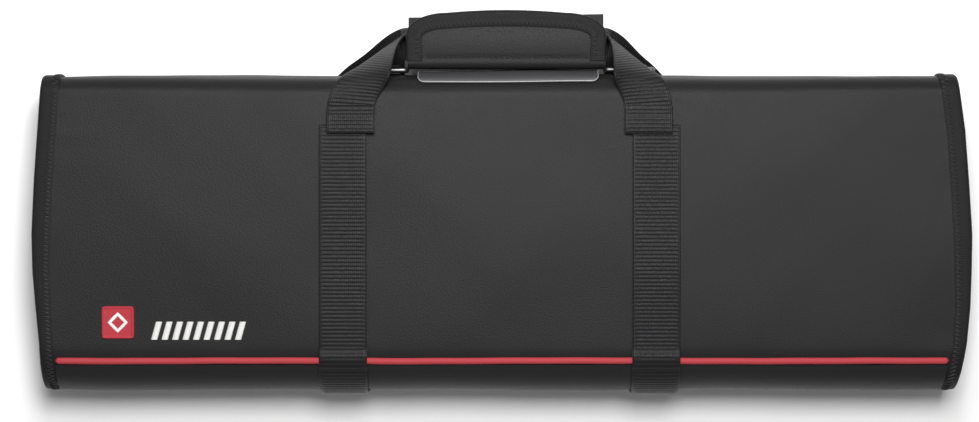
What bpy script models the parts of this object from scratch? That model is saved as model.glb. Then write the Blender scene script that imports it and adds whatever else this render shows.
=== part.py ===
"""A chef's knife roll, closed and lying on its back, in metres with +Z up.

A padded sheet is folded in three round a hollow core: the front flap laps down over the hem side, the spine
joins it to the back, and the inner flap comes up the hem side and lies under the front. Webbing is sewn down
the front, goes round the hem side and along the back, and both loops meet in a padded grip beyond the spine.

X runs along the roll, +Y from the hem side to the spine and the grip, +Z from the back to the front.
"""

import math

import bmesh
import bpy
import numpy as np

# The roll
ROLL_LENGTH = 0.4855
ROLL_DEPTH = 0.1647
ROLL_THICKNESS = 0.0540
PANEL = 0.0030
LAYER_PITCH = 0.0065
FRONT_CROWN = 0.0030
HEM_RADIUS = 0.0220
CREASE_RADIUS = 0.0065
BACK_RADIUS = 0.0130
INNER_RADIUS = 0.0090
TAIL_DROP = 0.0380
INNER_SHORT = 0.0150
INNER_DROP = 0.0200
INNER_INSET = 0.0020
SPINE_SLANT = 0.0050
SPINE_BULGE = 0.0062
SPINE_BULGE_AT_ENDS = 0.0042
CREASE_SAG = 0.0016
END_BOW_LEFT = 0.0044
END_BOW_RIGHT = 0.0066

# Its edges
GAP = 0.0003
TAPE = 0.0008
BINDING_WIDTH = 0.0090
HEM_BAND = 0.0010
HEM_TURN = 0.0120
PIPING_WIDTH = 0.0033
PIPING_HEIGHT = 0.0019
PIPING_PLACE = 0.0157

# The webbing
WEBBING_WIDTH = 0.0254
WEBBING = 0.0017
STRAP_SPACING = 0.1660
STRAP_TOP = 0.1410
LOOP_SPACING = 0.1577
LOOP_LAP = 0.0050
FLOOR_RADIUS = 0.0070

# The grip
HANDLE_REACH = 0.0366
HANDLE_SHIFT = 0.0035
GRIP_LENGTH = 0.1054
GRIP_HEIGHT = 0.0301
GRIP_THICKNESS = 0.0190
GRIP_WALL = 0.0024
GRIP_LIFT = 0.0330
GRIP_FOLD_RADIUS = 0.0055
GRIP_CORNER_X = 0.0210
GRIP_CORNER_Y = 0.0120
GRIP_ARCH = 0.0016
GRIP_BACK_SHORT = 0.0020
GRIP_BACK_SLANT = 0.0024
GRIP_TAPE_WIDTH = 0.0080

# The fittings on the spine and the front
WINDOW_LENGTH = 0.0960
WINDOW_SHIFT = 0.0045
WINDOW_SHEET = 0.0010
WINDOW_LOW = 0.0330
WINDOW_HIGH = 0.0520
RING_INNER = 0.0250
RING_DEEP = 0.0080
RING_WIRE = 0.0027
RING_LIFT = 0.0360
RING_OFFSET = 0.0675
TAB_WIDTH = 0.0200
TAB_RISE = 0.0045
PATCH_SIDE = 0.0172
PATCH_HEIGHT = 0.0010
PATCH_FROM_END = 0.0404
PATCH_FROM_HEM = 0.0357

# Steps of the faceted surfaces
ARC_STEPS = 6
RUN_STEP = 0.0190
SPANS = 10
ROUND_SIDES = 8

# The height of the roll's back over the floor is the webbing that runs under it
BACK_LEVEL = WEBBING + GAP
HEM_BUILD = HEM_BAND + WEBBING + 2 * GAP
HEM_FACE = HEM_BUILD - (ROLL_DEPTH + HANDLE_REACH + HEM_BUILD) / 2
CREASE_FACE = HEM_FACE + ROLL_DEPTH
GRIP_TOP = CREASE_FACE + HANDLE_REACH
FRONT_LEVEL = BACK_LEVEL + ROLL_THICKNESS
HALF = PANEL / 2

# How the two ends bow out down the front, as shares of the bows, and the binding's width there
END_SHAPE = (
    # share from crease to hem, left bow, right bow, binding width
    (0.00, 0.00, 0.00, 1.00),
    (0.16, 0.35, 0.50, 1.00),
    (0.32, 0.72, 0.76, 1.00),
    (0.50, 1.00, 1.00, 1.00),
    (0.62, 0.90, 0.96, 0.90),
    (0.74, 0.52, 0.88, 0.80),
    (0.86, 0.12, 0.62, 0.70),
    (1.00, 0.00, 0.10, 0.70),
)

# The front loop from the crease into the grip. Across: from where it is sewn (0) to the grip's end (1).
# Along: from the crease (0) to its way in (1). Level: from the grip's middle (0) to the front (1).
FRONT_LOOP = (
    # across, along, level, heading, roll, width
    (0.00, -0.64, 1.04, 2, 0, 1.00),
    (0.05, -0.38, 1.04, 5, 0, 1.00),
    (0.18, -0.09, 1.01, 8, -10, 1.00),
    (0.31, 0.09, 0.93, 8, -28, 1.00),
    (0.41, 0.23, 0.81, 8, -42, 0.98),
    (0.53, 0.43, 0.58, 10, -55, 0.90),
    (0.73, 0.75, 0.20, 20, -72, 0.66),
    (0.90, 0.96, 0.03, 50, -84, 0.38),
    (1.02, 1.03, 0.02, 84, -90, 0.36),
    (1.35, 1.03, 0.02, 90, -90, 0.36),
)

# The back webbing from under the roll into the grip, in the same terms, its level from the floor (0)
# to the grip's lower wall (1).
BACK_LOOP = (
    # across, along, level, heading, roll, width
    (0.00, -0.90, 0.00, 0, 0, 1.00),
    (0.06, -0.26, 0.00, 16, 0, 1.00),
    (0.22, -0.04, 0.10, 38, 5, 1.00),
    (0.50, 0.24, 0.33, 50, 18, 0.98),
    (0.76, 0.54, 0.72, 62, 12, 0.93),
    (0.89, 0.78, 1.00, 80, 0, 0.70),
    (1.00, 0.84, 1.01, 90, 0, 0.66),
    (1.25, 0.84, 1.01, 90, 0, 0.66),
)


def clear_scene():
    for item in list(bpy.data.objects):
        bpy.data.objects.remove(item)


def material(name, colour, roughness, metallic=0.0):
    """One plain finish, its colour given as linear red, green and blue."""
    made = bpy.data.materials.new(name)
    made.use_nodes = True
    shader = made.node_tree.nodes["Principled BSDF"]
    shader.inputs["Base Color"].default_value = (*colour, 1.0)
    shader.inputs["Roughness"].default_value = roughness
    shader.inputs["Metallic"].default_value = metallic
    return made


def add_mesh(name, points, faces, finish, smooth=40):
    """A closed mesh of these points and faces, its faces turned outwards."""
    mesh = bpy.data.meshes.new(name)
    mesh.from_pydata([tuple(p) for p in points], [], faces)
    work = bmesh.new()
    work.from_mesh(mesh)
    bmesh.ops.recalc_face_normals(work, faces=work.faces)
    work.to_mesh(mesh)
    work.free()
    mesh.materials.append(finish)
    mesh.shade_smooth()
    mesh.set_sharp_from_angle(angle=math.radians(smooth))
    made = bpy.data.objects.new(name, mesh)
    bpy.context.scene.collection.objects.link(made)
    return made


def add_slab(name, outer, inner, finish):
    """A solid between two grids of points of one size, closed by a wall round their edges."""
    rows, columns = outer.shape[:2]
    count = rows * columns
    index = np.arange(count).reshape(rows, columns)
    quads = np.stack([index[:-1, :-1], index[1:, :-1], index[1:, 1:], index[:-1, 1:]], axis=-1).reshape(-1, 4)
    rim = np.concatenate([index[:-1, 0], index[-1, :-1], index[:0:-1, -1], index[0, :0:-1]])
    after = np.roll(rim, -1)
    wall = np.stack([rim, after, after + count, rim + count], axis=-1)
    faces = np.concatenate([quads, quads[:, ::-1] + count, wall])
    points = np.concatenate([outer.reshape(-1, 3), inner.reshape(-1, 3)])
    return add_mesh(name, points, faces.tolist(), finish)


def add_sweep(name, rings, finish, closed=False):
    """A solid through rings of points, joined end to end or closed with a cap at each end."""
    count, sides = rings.shape[:2]
    index = np.arange(count * sides).reshape(count, sides)
    start = index if closed else index[:-1]
    end = np.roll(index, -1, axis=0) if closed else index[1:]
    quads = np.stack([start, end, np.roll(end, -1, axis=1), np.roll(start, -1, axis=1)], axis=-1)
    faces = quads.reshape(-1, 4).tolist()
    if not closed:
        faces += [index[0].tolist(), index[-1, ::-1].tolist()]
    return add_mesh(name, rings.reshape(-1, 3), faces, finish)


def unit(vectors):
    return vectors / np.linalg.norm(vectors, axis=-1, keepdims=True)


def rounded(corners, radii, run_step):
    """A line through corners, each turned with an arc of its radius, with points along the long runs."""
    corners = [np.array(c, float) for c in corners]
    line = [corners[0]]

    def run_to(end):
        span = end - line[-1]
        steps = max(1, round(float(np.linalg.norm(span)) / run_step))
        start = line[-1]
        line.extend(start + span * k / steps for k in range(1, steps + 1))

    for before, corner, after, radius in zip(corners, corners[1:], corners[2:], radii):
        into, out = unit(corner - before), unit(after - corner)
        turn = math.acos(float(np.clip(into @ out, -1, 1)))
        reach = radius * math.tan(turn / 2)
        run_to(corner - into * reach)
        side = unit(out - into)
        centre = corner + side * radius / math.cos(turn / 2)
        spoke = line[-1] - centre
        steps = max(2, round(ARC_STEPS * turn / (math.pi / 2)))
        for k in range(1, steps + 1):
            angle = turn * k / steps
            line.append(centre + spoke * math.cos(angle) + into * radius * math.sin(angle))
    run_to(corners[-1])
    return np.array(line)


def eased(rows, count):
    """Columns of numbers read off a smooth curve through the rows (Catmull-Rom), at even steps."""
    rows = np.array(rows, float)
    padded = np.concatenate([2 * rows[:1] - rows[1:2], rows, 2 * rows[-1:] - rows[-2:-1]])
    at = np.linspace(0, len(rows) - 1, count)
    k = np.minimum(at.astype(int), len(rows) - 2)
    t = (at - k)[:, None]
    a, b, c, d = (padded[k + i] for i in range(4))
    return b + t / 2 * (c - a + t * (2 * a - 5 * b + 4 * c - d + t * (3 * (b - c) + d - a)))


class Fold:
    """The sheet's fold line seen from the end, from the front flap's free edge to the inner flap's."""

    hem = HEM_FACE + HALF
    crease = CREASE_FACE - HALF
    front = FRONT_LEVEL - HALF
    back = BACK_LEVEL + HALF
    spine_foot = crease - SPINE_SLANT
    inner_edge = crease - INNER_SHORT
    inner_front = front - LAYER_PITCH

    def __init__(self):
        corners = (
            (self.hem, self.front - TAIL_DROP),
            (self.hem, self.front),
            (self.crease, self.front),
            (self.spine_foot, self.back),
            (self.hem + LAYER_PITCH, self.back),
            (self.hem + LAYER_PITCH, self.inner_front),
            (self.inner_edge, self.inner_front),
            (self.inner_edge, self.inner_front - INNER_DROP),
        )
        outside = (HEM_RADIUS, CREASE_RADIUS, BACK_RADIUS, BACK_RADIUS, HEM_RADIUS - LAYER_PITCH, INNER_RADIUS)
        self.line = rounded(corners, [r - HALF for r in outside], RUN_STEP)
        y, z = self.line.T
        self.length = np.concatenate([[0], np.cumsum(np.linalg.norm(np.diff(self.line, axis=0), axis=1))])
        across = np.clip((y - self.hem) / (self.crease - self.hem), 0, 1)
        level = np.clip((z - self.back) / (self.front - self.back), 0, 1)
        ahead = np.argmax(z <= self.back + 1e-6)
        lowest = np.arange(len(y)) <= ahead
        on_spine = lowest & (y > self.spine_foot - BACK_RADIUS) & (across > 0.5)
        on_front = lowest & ~on_spine
        self.crown = np.where(level > 0.5, 4 * across * (1 - across), 0)
        self.bulge = np.where(on_spine, 4 * level * (1 - level), 0)
        self.sag = np.where(on_spine, level**2, np.where(on_front, across**6, 0))
        down = np.clip((self.crease - y) / (self.crease - self.hem), 0, 1)
        table = np.array(END_SHAPE)
        left, right, width = (np.interp(down, table[:, 0], table[:, k]) for k in (1, 2, 3))
        inside = np.clip((self.length - self.length[ahead]) / ROLL_DEPTH, 0, 1)
        half = ROLL_LENGTH / 2
        self.left = -half - END_BOW_LEFT * left * (1 - inside) + INNER_INSET * inside
        self.right = half + END_BOW_RIGHT * right * (1 - inside) - INNER_INSET * inside
        self.binding = BINDING_WIDTH * width

    def at(self, where, x, offset=0.0):
        """Points on the sheet: where = lengths along the fold, x = places along the roll, offset outwards."""
        where = np.asarray(where, float)
        x = np.broadcast_to(np.atleast_1d(x), (len(where), np.atleast_1d(x).shape[-1]))
        offset = np.broadcast_to(np.asarray(offset, float).reshape(-1, 1), x.shape)
        every = np.stack([[np.interp(self.length, where, x[:, k])] for k in range(x.shape[1])], axis=-1)[0]
        outness = np.clip(1 - (every / (ROLL_LENGTH / 2)) ** 2, 0, 1)
        bulge = SPINE_BULGE_AT_ENDS + (SPINE_BULGE - SPINE_BULGE_AT_ENDS) * outness
        y = self.line[:, :1] + self.bulge[:, None] * bulge - self.sag[:, None] * CREASE_SAG * outness
        z = self.line[:, 1:] + self.crown[:, None] * FRONT_CROWN + np.zeros_like(y)
        along = unit(np.stack([np.gradient(y, axis=0), np.gradient(z, axis=0)], axis=-1))
        found = []
        for values in (y, z, -along[..., 1], along[..., 0]):
            columns = [np.interp(where, self.length, values[:, k]) for k in range(x.shape[1])]
            found.append(np.stack(columns, axis=-1))
        y, z, out_y, out_z = found
        return np.stack([x, y + out_y * offset, z + out_z * offset], axis=-1)

    def between(self, start, end):
        """The fold's own stations between two lengths, with both of these."""
        inside = self.length[(self.length > start + 1e-6) & (self.length < end - 1e-6)]
        return np.concatenate([[start], inside, [end]])

    def front_place(self, y):
        """The length along the fold at which the front lies at y."""
        front = slice(0, int(np.argmax(self.line[:, 0])) + 1)
        return float(np.interp(y, self.line[front, 0], self.length[front]))

    def spine_place(self, z):
        """The length along the fold at which the spine lies at height z."""
        start = int(np.flatnonzero(self.line[:, 1] >= self.front - 1e-6)[-1])
        end = int(np.argmax(self.line[:, 1] <= self.back + 1e-6))
        return float(np.interp(-z, -self.line[start:end, 1], self.length[start:end]))

    def ends(self, where, inset=0.0):
        """The sheet's left and right end at lengths along the fold, moved in from the bindings by inset."""
        left = np.interp(where, self.length, self.left + inset * self.binding)
        right = np.interp(where, self.length, self.right - inset * self.binding)
        return left, right


def make_cover(fold, finish):
    where = fold.length
    left, right = fold.ends(where)
    share = np.linspace(0, 1, SPANS + 1)
    x = left[:, None] + (right - left)[:, None] * share
    add_slab("cover_panel", fold.at(where, x, HALF), fold.at(where, x, -HALF), finish)


def add_channel(name, edge, outward, face, wall, width, finish):
    """A tape folded over an edge: edge = points on the wall's middle, outward and face = unit vectors there."""
    near, far = wall / 2 + GAP, wall / 2 + GAP + TAPE
    width = np.broadcast_to(width, len(edge))[:, None]

    def row(out, up):
        return edge + outward * out + face * up

    inner = np.stack([row(-width, near), row(GAP, near), row(GAP, -near), row(-width, -near)], axis=1)
    outer = np.stack([row(-width, far), row(GAP + TAPE, far), row(GAP + TAPE, -far), row(-width, -far)], axis=1)
    add_slab(name, outer, inner, finish)


def make_bindings(fold, finish):
    """The tapes folded over the sheet's two ends, all along the fold."""
    where = fold.length
    for name, x, side in (("binding_left", fold.left, -1.0), ("binding_right", fold.right, 1.0)):
        edge = fold.at(where, x[:, None])[:, 0]
        face = unit(fold.at(where, x[:, None], HALF)[:, 0] - edge)
        outward = np.tile([side, 0.0, 0.0], (len(edge), 1))
        add_channel(name, edge, outward, face, PANEL, fold.binding, finish)


def edge_grid(fold, where, offset):
    """Points between the two bindings along lengths of the fold."""
    left, right = fold.ends(where, 1.0)
    clear = 3 * GAP
    x = np.stack([left + clear, (left + right) / 2, right - clear], axis=1)
    return fold.at(where, x, offset)


def make_hem(fold, band_finish, piping_finish):
    """The band folded over the flap's free edge, and the cord sewn in along its upper side."""
    piping = fold.front_place(HEM_FACE + PIPING_PLACE)
    band_top = piping - PIPING_WIDTH / 2 - GAP
    near, far = HALF + GAP, HALF + GAP + HEM_BAND
    outside = fold.between(0, band_top)[::-1]
    inside = fold.between(0, HEM_TURN)
    grids = []
    for depth in (far, near):
        turned = edge_grid(fold, inside, -depth)
        outer = edge_grid(fold, outside, depth)
        below = np.array([0, 0, near - HALF if depth == near else far - HALF])
        corners = np.stack([outer[-1] - below, turned[0] - below])
        grids.append(np.concatenate([outer, corners, turned]))
    add_slab("hem_band", grids[0], grids[1], band_finish)

    spans = 12
    left, right = (float(v[0]) for v in fold.ends(np.array([piping]), 1.0))
    x = np.linspace(left + 3 * GAP, right - 3 * GAP, spans + 1)
    arc = np.linspace(0, math.pi, ROUND_SIDES)
    across = piping + PIPING_WIDTH / 2 * np.cos(arc)
    rise = HALF + GAP + PIPING_HEIGHT * np.sin(arc)
    rings = np.stack([fold.at([place], x, lift)[0] for place, lift in zip(across, rise)], axis=1)
    add_sweep("hem_piping", rings, piping_finish)


def across_of(heading, roll, side):
    """The unit vector across webbing that heads so many degrees from +Y towards the grip, rolled inwards."""
    heading, roll = np.radians(heading), np.radians(roll)
    flat = np.cos(roll)
    return np.stack([-side * flat * np.cos(heading), -flat * np.sin(heading), -np.sin(roll)], axis=-1)


def add_webbing(name, centre, across, width, thick, finish):
    """Flat webbing along centre points, its width along across, its thickness square to both."""
    along = np.gradient(centre, axis=0)
    normal = unit(np.cross(across, along))
    half_width = (across * np.reshape(width, (-1, 1)) / 2)[:, None]
    half_thick = (normal * np.reshape(thick, (-1, 1)) / 2)[:, None]
    ends = np.array([-1.0, 1.0])[None, :, None]
    middle = centre[:, None] + half_width * ends
    return add_slab(name, middle + half_thick, middle - half_thick, finish)


def loop_rows(table, side, sewn_x, floor_level, top_level, count):
    """A loop's centre, across, and width from its table, for the left (-1) or right (1) side."""
    across, along, level, heading, roll, width = eased(table, count).T
    level = np.maximum(level, 0)
    z = floor_level + (top_level - floor_level) * level
    grip_x = HANDLE_SHIFT + side * GRIP_LENGTH / 2
    way_in = GRIP_TOP - GRIP_CORNER_Y
    x = sewn_x + (grip_x - sewn_x) * across
    y = CREASE_FACE + (way_in - CREASE_FACE) * along
    return np.stack([x, y, z], axis=-1), across_of(heading, roll, side), WEBBING_WIDTH * width


def make_straps(fold, finish):
    """The webbing sewn down the front, round the hem side, along the back and up into the grip."""
    piping = fold.front_place(HEM_FACE + PIPING_PLACE)
    top = fold.front_place(HEM_FACE + STRAP_TOP)
    where = fold.between(0, top)[::-1]
    extra = np.array([piping + PIPING_WIDTH * k for k in (1.6, 1.0, 0.5, -0.5, -1.0, -1.6)])
    where = np.sort(np.concatenate([where, extra]))[::-1]
    over_cord = np.clip(2.1 - np.abs(where - piping) / (PIPING_WIDTH / 2), 0, 1)
    over_band = np.clip((piping - where) / PIPING_WIDTH, 0, 1)
    lift = np.maximum(PIPING_HEIGHT * over_cord, (HEM_BAND + GAP) * over_band)
    offset = HALF + 2 * GAP + WEBBING / 2 + lift
    side_y = HEM_FACE - HEM_BUILD + WEBBING / 2 - GAP
    for name, side in (("strap_left", -1.0), ("strap_right", 1.0)):
        x = side * STRAP_SPACING / 2
        front = fold.at(where, [x], offset)[:, 0]
        front[:, 1] = np.maximum(front[:, 1], side_y)
        loop, loop_across, loop_width = loop_rows(
            BACK_LOOP, side, x, WEBBING / 2, GRIP_LIFT - GRIP_THICKNESS / 2 + GRIP_WALL + GAP + WEBBING / 2, 22
        )
        turn = rounded(
            [(side_y, front[-1, 2]), (side_y, WEBBING / 2), (loop[0, 1], WEBBING / 2)], [FLOOR_RADIUS], 2 * RUN_STEP
        )[1:-1]
        under = np.column_stack([np.full(len(turn), x), turn])
        last = np.array([[HANDLE_SHIFT + side * GAP, loop[-1, 1], loop[-1, 2]]])
        centre = np.concatenate([front, under, loop, last])
        straight = across_of(0.0, 0.0, side)
        across = np.concatenate([np.tile(straight, (len(front) + len(under), 1)), loop_across, loop_across[-1:]])
        width = np.full(len(centre), WEBBING_WIDTH)
        width[-len(loop) - 1 : -1] = loop_width
        width[-1] = loop_width[-1]
        add_webbing(name, centre, across, width, WEBBING, finish)


def make_front_loop(fold, finish):
    """The front loop: lapped over the straps' upper ends, over the crease and through the grip on edge."""
    past_top = np.array([-1.0, -0.2, 0.6, 2.0]) * LOOP_LAP
    panel_y = HEM_FACE + STRAP_TOP + past_top
    lap = np.where(past_top > LOOP_LAP, 0.35, 1.0) * (WEBBING + GAP)
    halves = []
    for side in (-1.0, 1.0):
        x = side * LOOP_SPACING / 2
        places = np.array([fold.front_place(y) for y in panel_y])
        sewn = fold.at(places, [x], HALF + 2 * GAP + WEBBING / 2 + lap)[:, 0]
        loop, loop_across, loop_width = loop_rows(FRONT_LOOP, side, x, GRIP_LIFT, FRONT_LEVEL + GAP + WEBBING / 2, 26)
        centre = np.concatenate([sewn, loop])
        across = np.concatenate([np.tile(across_of(0.0, 0.0, side), (len(sewn), 1)), loop_across])
        width = np.concatenate([np.full(len(sewn), WEBBING_WIDTH), loop_width])
        halves.append((centre, across, width))
    (left, left_across, left_width), (right, right_across, right_width) = halves
    centre = np.concatenate([left, right[::-1]])
    across = np.concatenate([left_across, right_across[::-1]])
    width = np.concatenate([left_width, right_width[::-1]])
    add_webbing("handle_loop", centre, across, width, WEBBING, finish)


def grip_half_length(from_top):
    """Half the front flap's length at a distance below its top, with elliptical corners."""
    share = np.clip(1 - from_top / GRIP_CORNER_Y, 0, 1)
    return GRIP_LENGTH / 2 - GRIP_CORNER_X * (1 - np.sqrt(1 - share**2))


def make_grip(finish):
    """The padded wrap: a square-cornered back layer, folded at the bottom into a round-cornered front."""
    middle = GRIP_THICKNESS / 2 - GRIP_WALL / 2
    bottom = GRIP_TOP - GRIP_HEIGHT + GRIP_WALL / 2
    back_top = GRIP_TOP - GRIP_BACK_SHORT
    corners = [
        (back_top, GRIP_LIFT - middle),
        (bottom, GRIP_LIFT - middle),
        (bottom, GRIP_LIFT + middle),
        (GRIP_TOP - GRIP_CORNER_Y, GRIP_LIFT + middle),
    ]
    line = rounded(corners, [GRIP_FOLD_RADIUS, GRIP_FOLD_RADIUS], RUN_STEP)
    corner = GRIP_TOP - GRIP_CORNER_Y * (1 - np.sin(np.linspace(0, math.pi / 2, ARC_STEPS + 1)[1:]))
    line = np.concatenate([line, np.column_stack([corner, np.full(ARC_STEPS, GRIP_LIFT + middle)])])
    along = unit(np.gradient(line, axis=0))
    normal = np.column_stack([along[:, 1], -along[:, 0]])
    on_front = np.arange(len(line)) >= len(line) - ARC_STEPS
    half = np.where(on_front, grip_half_length(GRIP_TOP - line[:, 0]), GRIP_LENGTH / 2)
    share = np.linspace(-1, 1, SPANS + 1)
    x = HANDLE_SHIFT + half[:, None] * share
    rise = np.clip((line[:, 0] - bottom) / GRIP_HEIGHT, 0, 1)[:, None] ** 2
    front = (line[:, 1] > GRIP_LIFT)[:, None]
    arch = rise * np.where(front, -GRIP_ARCH * share**2, GRIP_BACK_SLANT * (1 + share) / 2)
    grids = []
    for offset in (-GRIP_WALL / 2, GRIP_WALL / 2):
        y = line[:, :1] + arch + normal[:, :1] * offset
        z = np.broadcast_to(line[:, 1:] + normal[:, 1:] * offset, y.shape)
        grids.append(np.stack([x, y, z], axis=-1))
    add_slab("grip_wrap", grids[0], grids[1], finish)


def make_grip_binding(finish):
    """The wide tape folded over the wrap's front edge: up one side, round the corners and along the top."""
    level = GRIP_LIFT + GRIP_THICKNESS / 2 - GRIP_WALL / 2
    low = GRIP_TOP - GRIP_HEIGHT + GRIP_WALL / 2 + GRIP_FOLD_RADIUS
    corner_y = GRIP_TOP - GRIP_CORNER_Y
    angle = np.linspace(0, math.pi / 2, ARC_STEPS + 1)
    side = [(GRIP_LENGTH / 2, low), (GRIP_LENGTH / 2, (low + corner_y) / 2)]
    round_x = GRIP_LENGTH / 2 - GRIP_CORNER_X * (1 - np.cos(angle))
    round_y = corner_y + GRIP_CORNER_Y * np.sin(angle)
    top = GRIP_LENGTH / 2 - GRIP_CORNER_X
    top_x = np.linspace(top, 0, 4)[1:]
    right = np.array([*side, *zip(round_x, round_y), *((x, GRIP_TOP) for x in top_x)])
    half_at = np.maximum(grip_half_length(GRIP_TOP - right[:, 1]), 1e-6)
    share = np.clip(right[:, 0] / half_at, 0, 1)
    bottom = GRIP_TOP - GRIP_HEIGHT + GRIP_WALL / 2
    right[:, 1] -= GRIP_ARCH * share**2 * np.clip((right[:, 1] - bottom) / GRIP_HEIGHT, 0, 1) ** 2
    left = right[-2::-1] * [-1, 1]
    outline = np.concatenate([right, left])
    edge = np.column_stack([outline[:, 0] + HANDLE_SHIFT, outline[:, 1], np.full(len(outline), level)])
    along = unit(np.gradient(edge, axis=0))
    face = np.tile([0.0, 0.0, 1.0], (len(edge), 1))
    outward = np.cross(along, face)
    add_channel("grip_binding", edge, outward, face, GRIP_WALL, GRIP_TAPE_WIDTH, finish)


def make_window(fold, finish):
    """The clear sleeve that lies on the spine under the grip."""
    where = fold.between(fold.spine_place(WINDOW_HIGH), fold.spine_place(WINDOW_LOW))
    x = WINDOW_SHIFT + WINDOW_LENGTH / 2 * np.linspace(-1, 1, 7)
    near = HALF + GAP
    add_slab("id_window", fold.at(where, x, near + WINDOW_SHEET), fold.at(where, x, near), finish)


def make_rings(fold, ring_finish, tab_finish):
    """D-rings that hang flat against the spine, each in a webbing tab folded round its straight bar."""
    wire = RING_WIRE / 2
    half = RING_INNER / 2 + wire
    arc = np.linspace(0, math.pi, 2 * ARC_STEPS + 1)
    bow = np.column_stack([half * np.cos(arc), -RING_DEEP * np.sin(arc) - 2 * RING_WIRE])
    bar_x = np.linspace(-half, half, 5)
    bar = np.column_stack([bar_x, np.zeros(5)])
    line = np.concatenate([bar, bow])
    spoke = np.linspace(0, 2 * math.pi, ROUND_SIDES, endpoint=False)
    for name, side in (("left", -1.0), ("right", 1.0)):
        x = HANDLE_SHIFT + side * RING_OFFSET
        place = fold.spine_place(RING_LIFT)
        skin = fold.at([place], [x], HALF)[0, 0]
        centre_y = float(skin[1]) + GAP + TAPE + GAP + wire
        centre = np.column_stack([x + line[:, 0], np.full(len(line), centre_y), RING_LIFT + line[:, 1]])
        along = unit(np.roll(centre, -1, axis=0) - np.roll(centre, 1, axis=0))
        flat = np.array([0.0, 1.0, 0.0])
        out = np.cross(along, flat)
        rings = centre[:, None] + wire * (
            np.cos(spoke)[None, :, None] * flat + np.sin(spoke)[None, :, None] * out[:, None]
        )
        add_sweep(f"ring_{name}", rings, ring_finish, closed=True)

        reach = wire + GAP + TAPE / 2
        around = np.linspace(0, math.pi, ARC_STEPS + 1)
        hook = np.column_stack([reach * np.cos(around), -reach * np.sin(around)])
        hook = np.concatenate([[(reach, TAB_RISE)], hook, [(-reach, TAB_RISE)]])
        middle = np.column_stack([np.full(len(hook), x), centre_y + hook[:, 0], RING_LIFT + hook[:, 1]])
        across = np.tile([1.0, 0.0, 0.0], (len(hook), 1))
        add_webbing(f"ring_tab_{name}", middle, across, TAB_WIDTH, TAPE, tab_finish)


def make_patch(fold, finish):
    """The small square patch near the left end, low on the front."""
    centre = HEM_FACE + PATCH_FROM_HEM
    where = fold.between(fold.front_place(centre - PATCH_SIDE / 2), fold.front_place(centre + PATCH_SIDE / 2))
    x = -ROLL_LENGTH / 2 + PATCH_FROM_END + PATCH_SIDE / 2 * np.array([-1.0, 1.0])
    near = HALF + GAP
    add_slab("badge_patch", fold.at(where, x, near + PATCH_HEIGHT), fold.at(where, x, near), finish)


def main():
    clear_scene()
    canvas = material("black_polyester_canvas", (0.030, 0.029, 0.030), 0.85)
    tape = material("black_binding_tape", (0.026, 0.026, 0.027), 0.80)
    webbing = material("black_webbing", (0.028, 0.028, 0.029), 0.70)
    cord = material("red_piping", (0.58, 0.04, 0.06), 0.60)
    steel = material("grey_steel", (0.45, 0.45, 0.46), 0.35, 1.0)
    vinyl = material("clear_vinyl", (0.25, 0.25, 0.25), 0.20)
    badge = material("red_patch", (0.62, 0.02, 0.03), 0.50)

    fold = Fold()
    make_cover(fold, canvas)
    make_bindings(fold, tape)
    make_hem(fold, tape, cord)
    make_straps(fold, webbing)
    make_front_loop(fold, webbing)
    make_grip(canvas)
    make_grip_binding(tape)
    make_window(fold, vinyl)
    make_rings(fold, steel, webbing)
    make_patch(fold, badge)


main()
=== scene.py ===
"""Looks of a closed chef's knife roll that lies on its back, seen from straight above.

A padded canvas sheet is folded in three round a hollow core. Ribbed webbing is sewn down its front, runs
round its hem side and back, and comes up past the spine into a padded grip. Red piping marks the front
flap's hem, woven tape binds both ends, and two D-rings and a clear sleeve sit on the spine.

X runs along the roll, +Y from the hem side to the grip, +Z out of the front. All lengths are in metres.
"""

import math

import bpy
import numpy as np
from bpy.props import FloatProperty, FloatVectorProperty, PointerProperty, StringProperty
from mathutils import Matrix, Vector


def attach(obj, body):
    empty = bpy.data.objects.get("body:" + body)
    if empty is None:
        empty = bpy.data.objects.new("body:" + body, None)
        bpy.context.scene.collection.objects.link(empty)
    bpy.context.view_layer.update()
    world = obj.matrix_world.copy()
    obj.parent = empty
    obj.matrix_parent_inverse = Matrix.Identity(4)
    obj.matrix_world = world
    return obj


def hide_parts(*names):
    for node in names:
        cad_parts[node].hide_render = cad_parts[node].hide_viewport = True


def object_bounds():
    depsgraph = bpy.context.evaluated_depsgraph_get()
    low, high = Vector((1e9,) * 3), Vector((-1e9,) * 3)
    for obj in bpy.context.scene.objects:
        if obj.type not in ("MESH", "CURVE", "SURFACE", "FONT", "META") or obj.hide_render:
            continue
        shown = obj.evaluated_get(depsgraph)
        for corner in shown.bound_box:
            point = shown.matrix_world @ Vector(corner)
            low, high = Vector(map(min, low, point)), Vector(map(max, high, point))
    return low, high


bl_info = {
    "name": "Chef's Knife Roll",
    "version": (1, 0, 0),
    "blender": (4, 5, 0),
    "location": "3D View > Sidebar > Knife Roll",
    "description": "Makes the canvas, webbing, grip and fittings of a closed knife roll",
    "category": "Object",
}

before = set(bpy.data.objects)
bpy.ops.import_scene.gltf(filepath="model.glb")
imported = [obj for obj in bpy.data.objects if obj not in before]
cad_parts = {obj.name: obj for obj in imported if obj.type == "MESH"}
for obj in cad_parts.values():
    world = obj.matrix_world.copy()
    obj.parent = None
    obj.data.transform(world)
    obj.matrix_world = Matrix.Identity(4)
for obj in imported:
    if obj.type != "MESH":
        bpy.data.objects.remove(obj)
CAD_BOX = [list(corner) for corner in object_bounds()]

MM = 0.001

SIDES = (("left", -1.0), ("right", 1.0))

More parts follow.
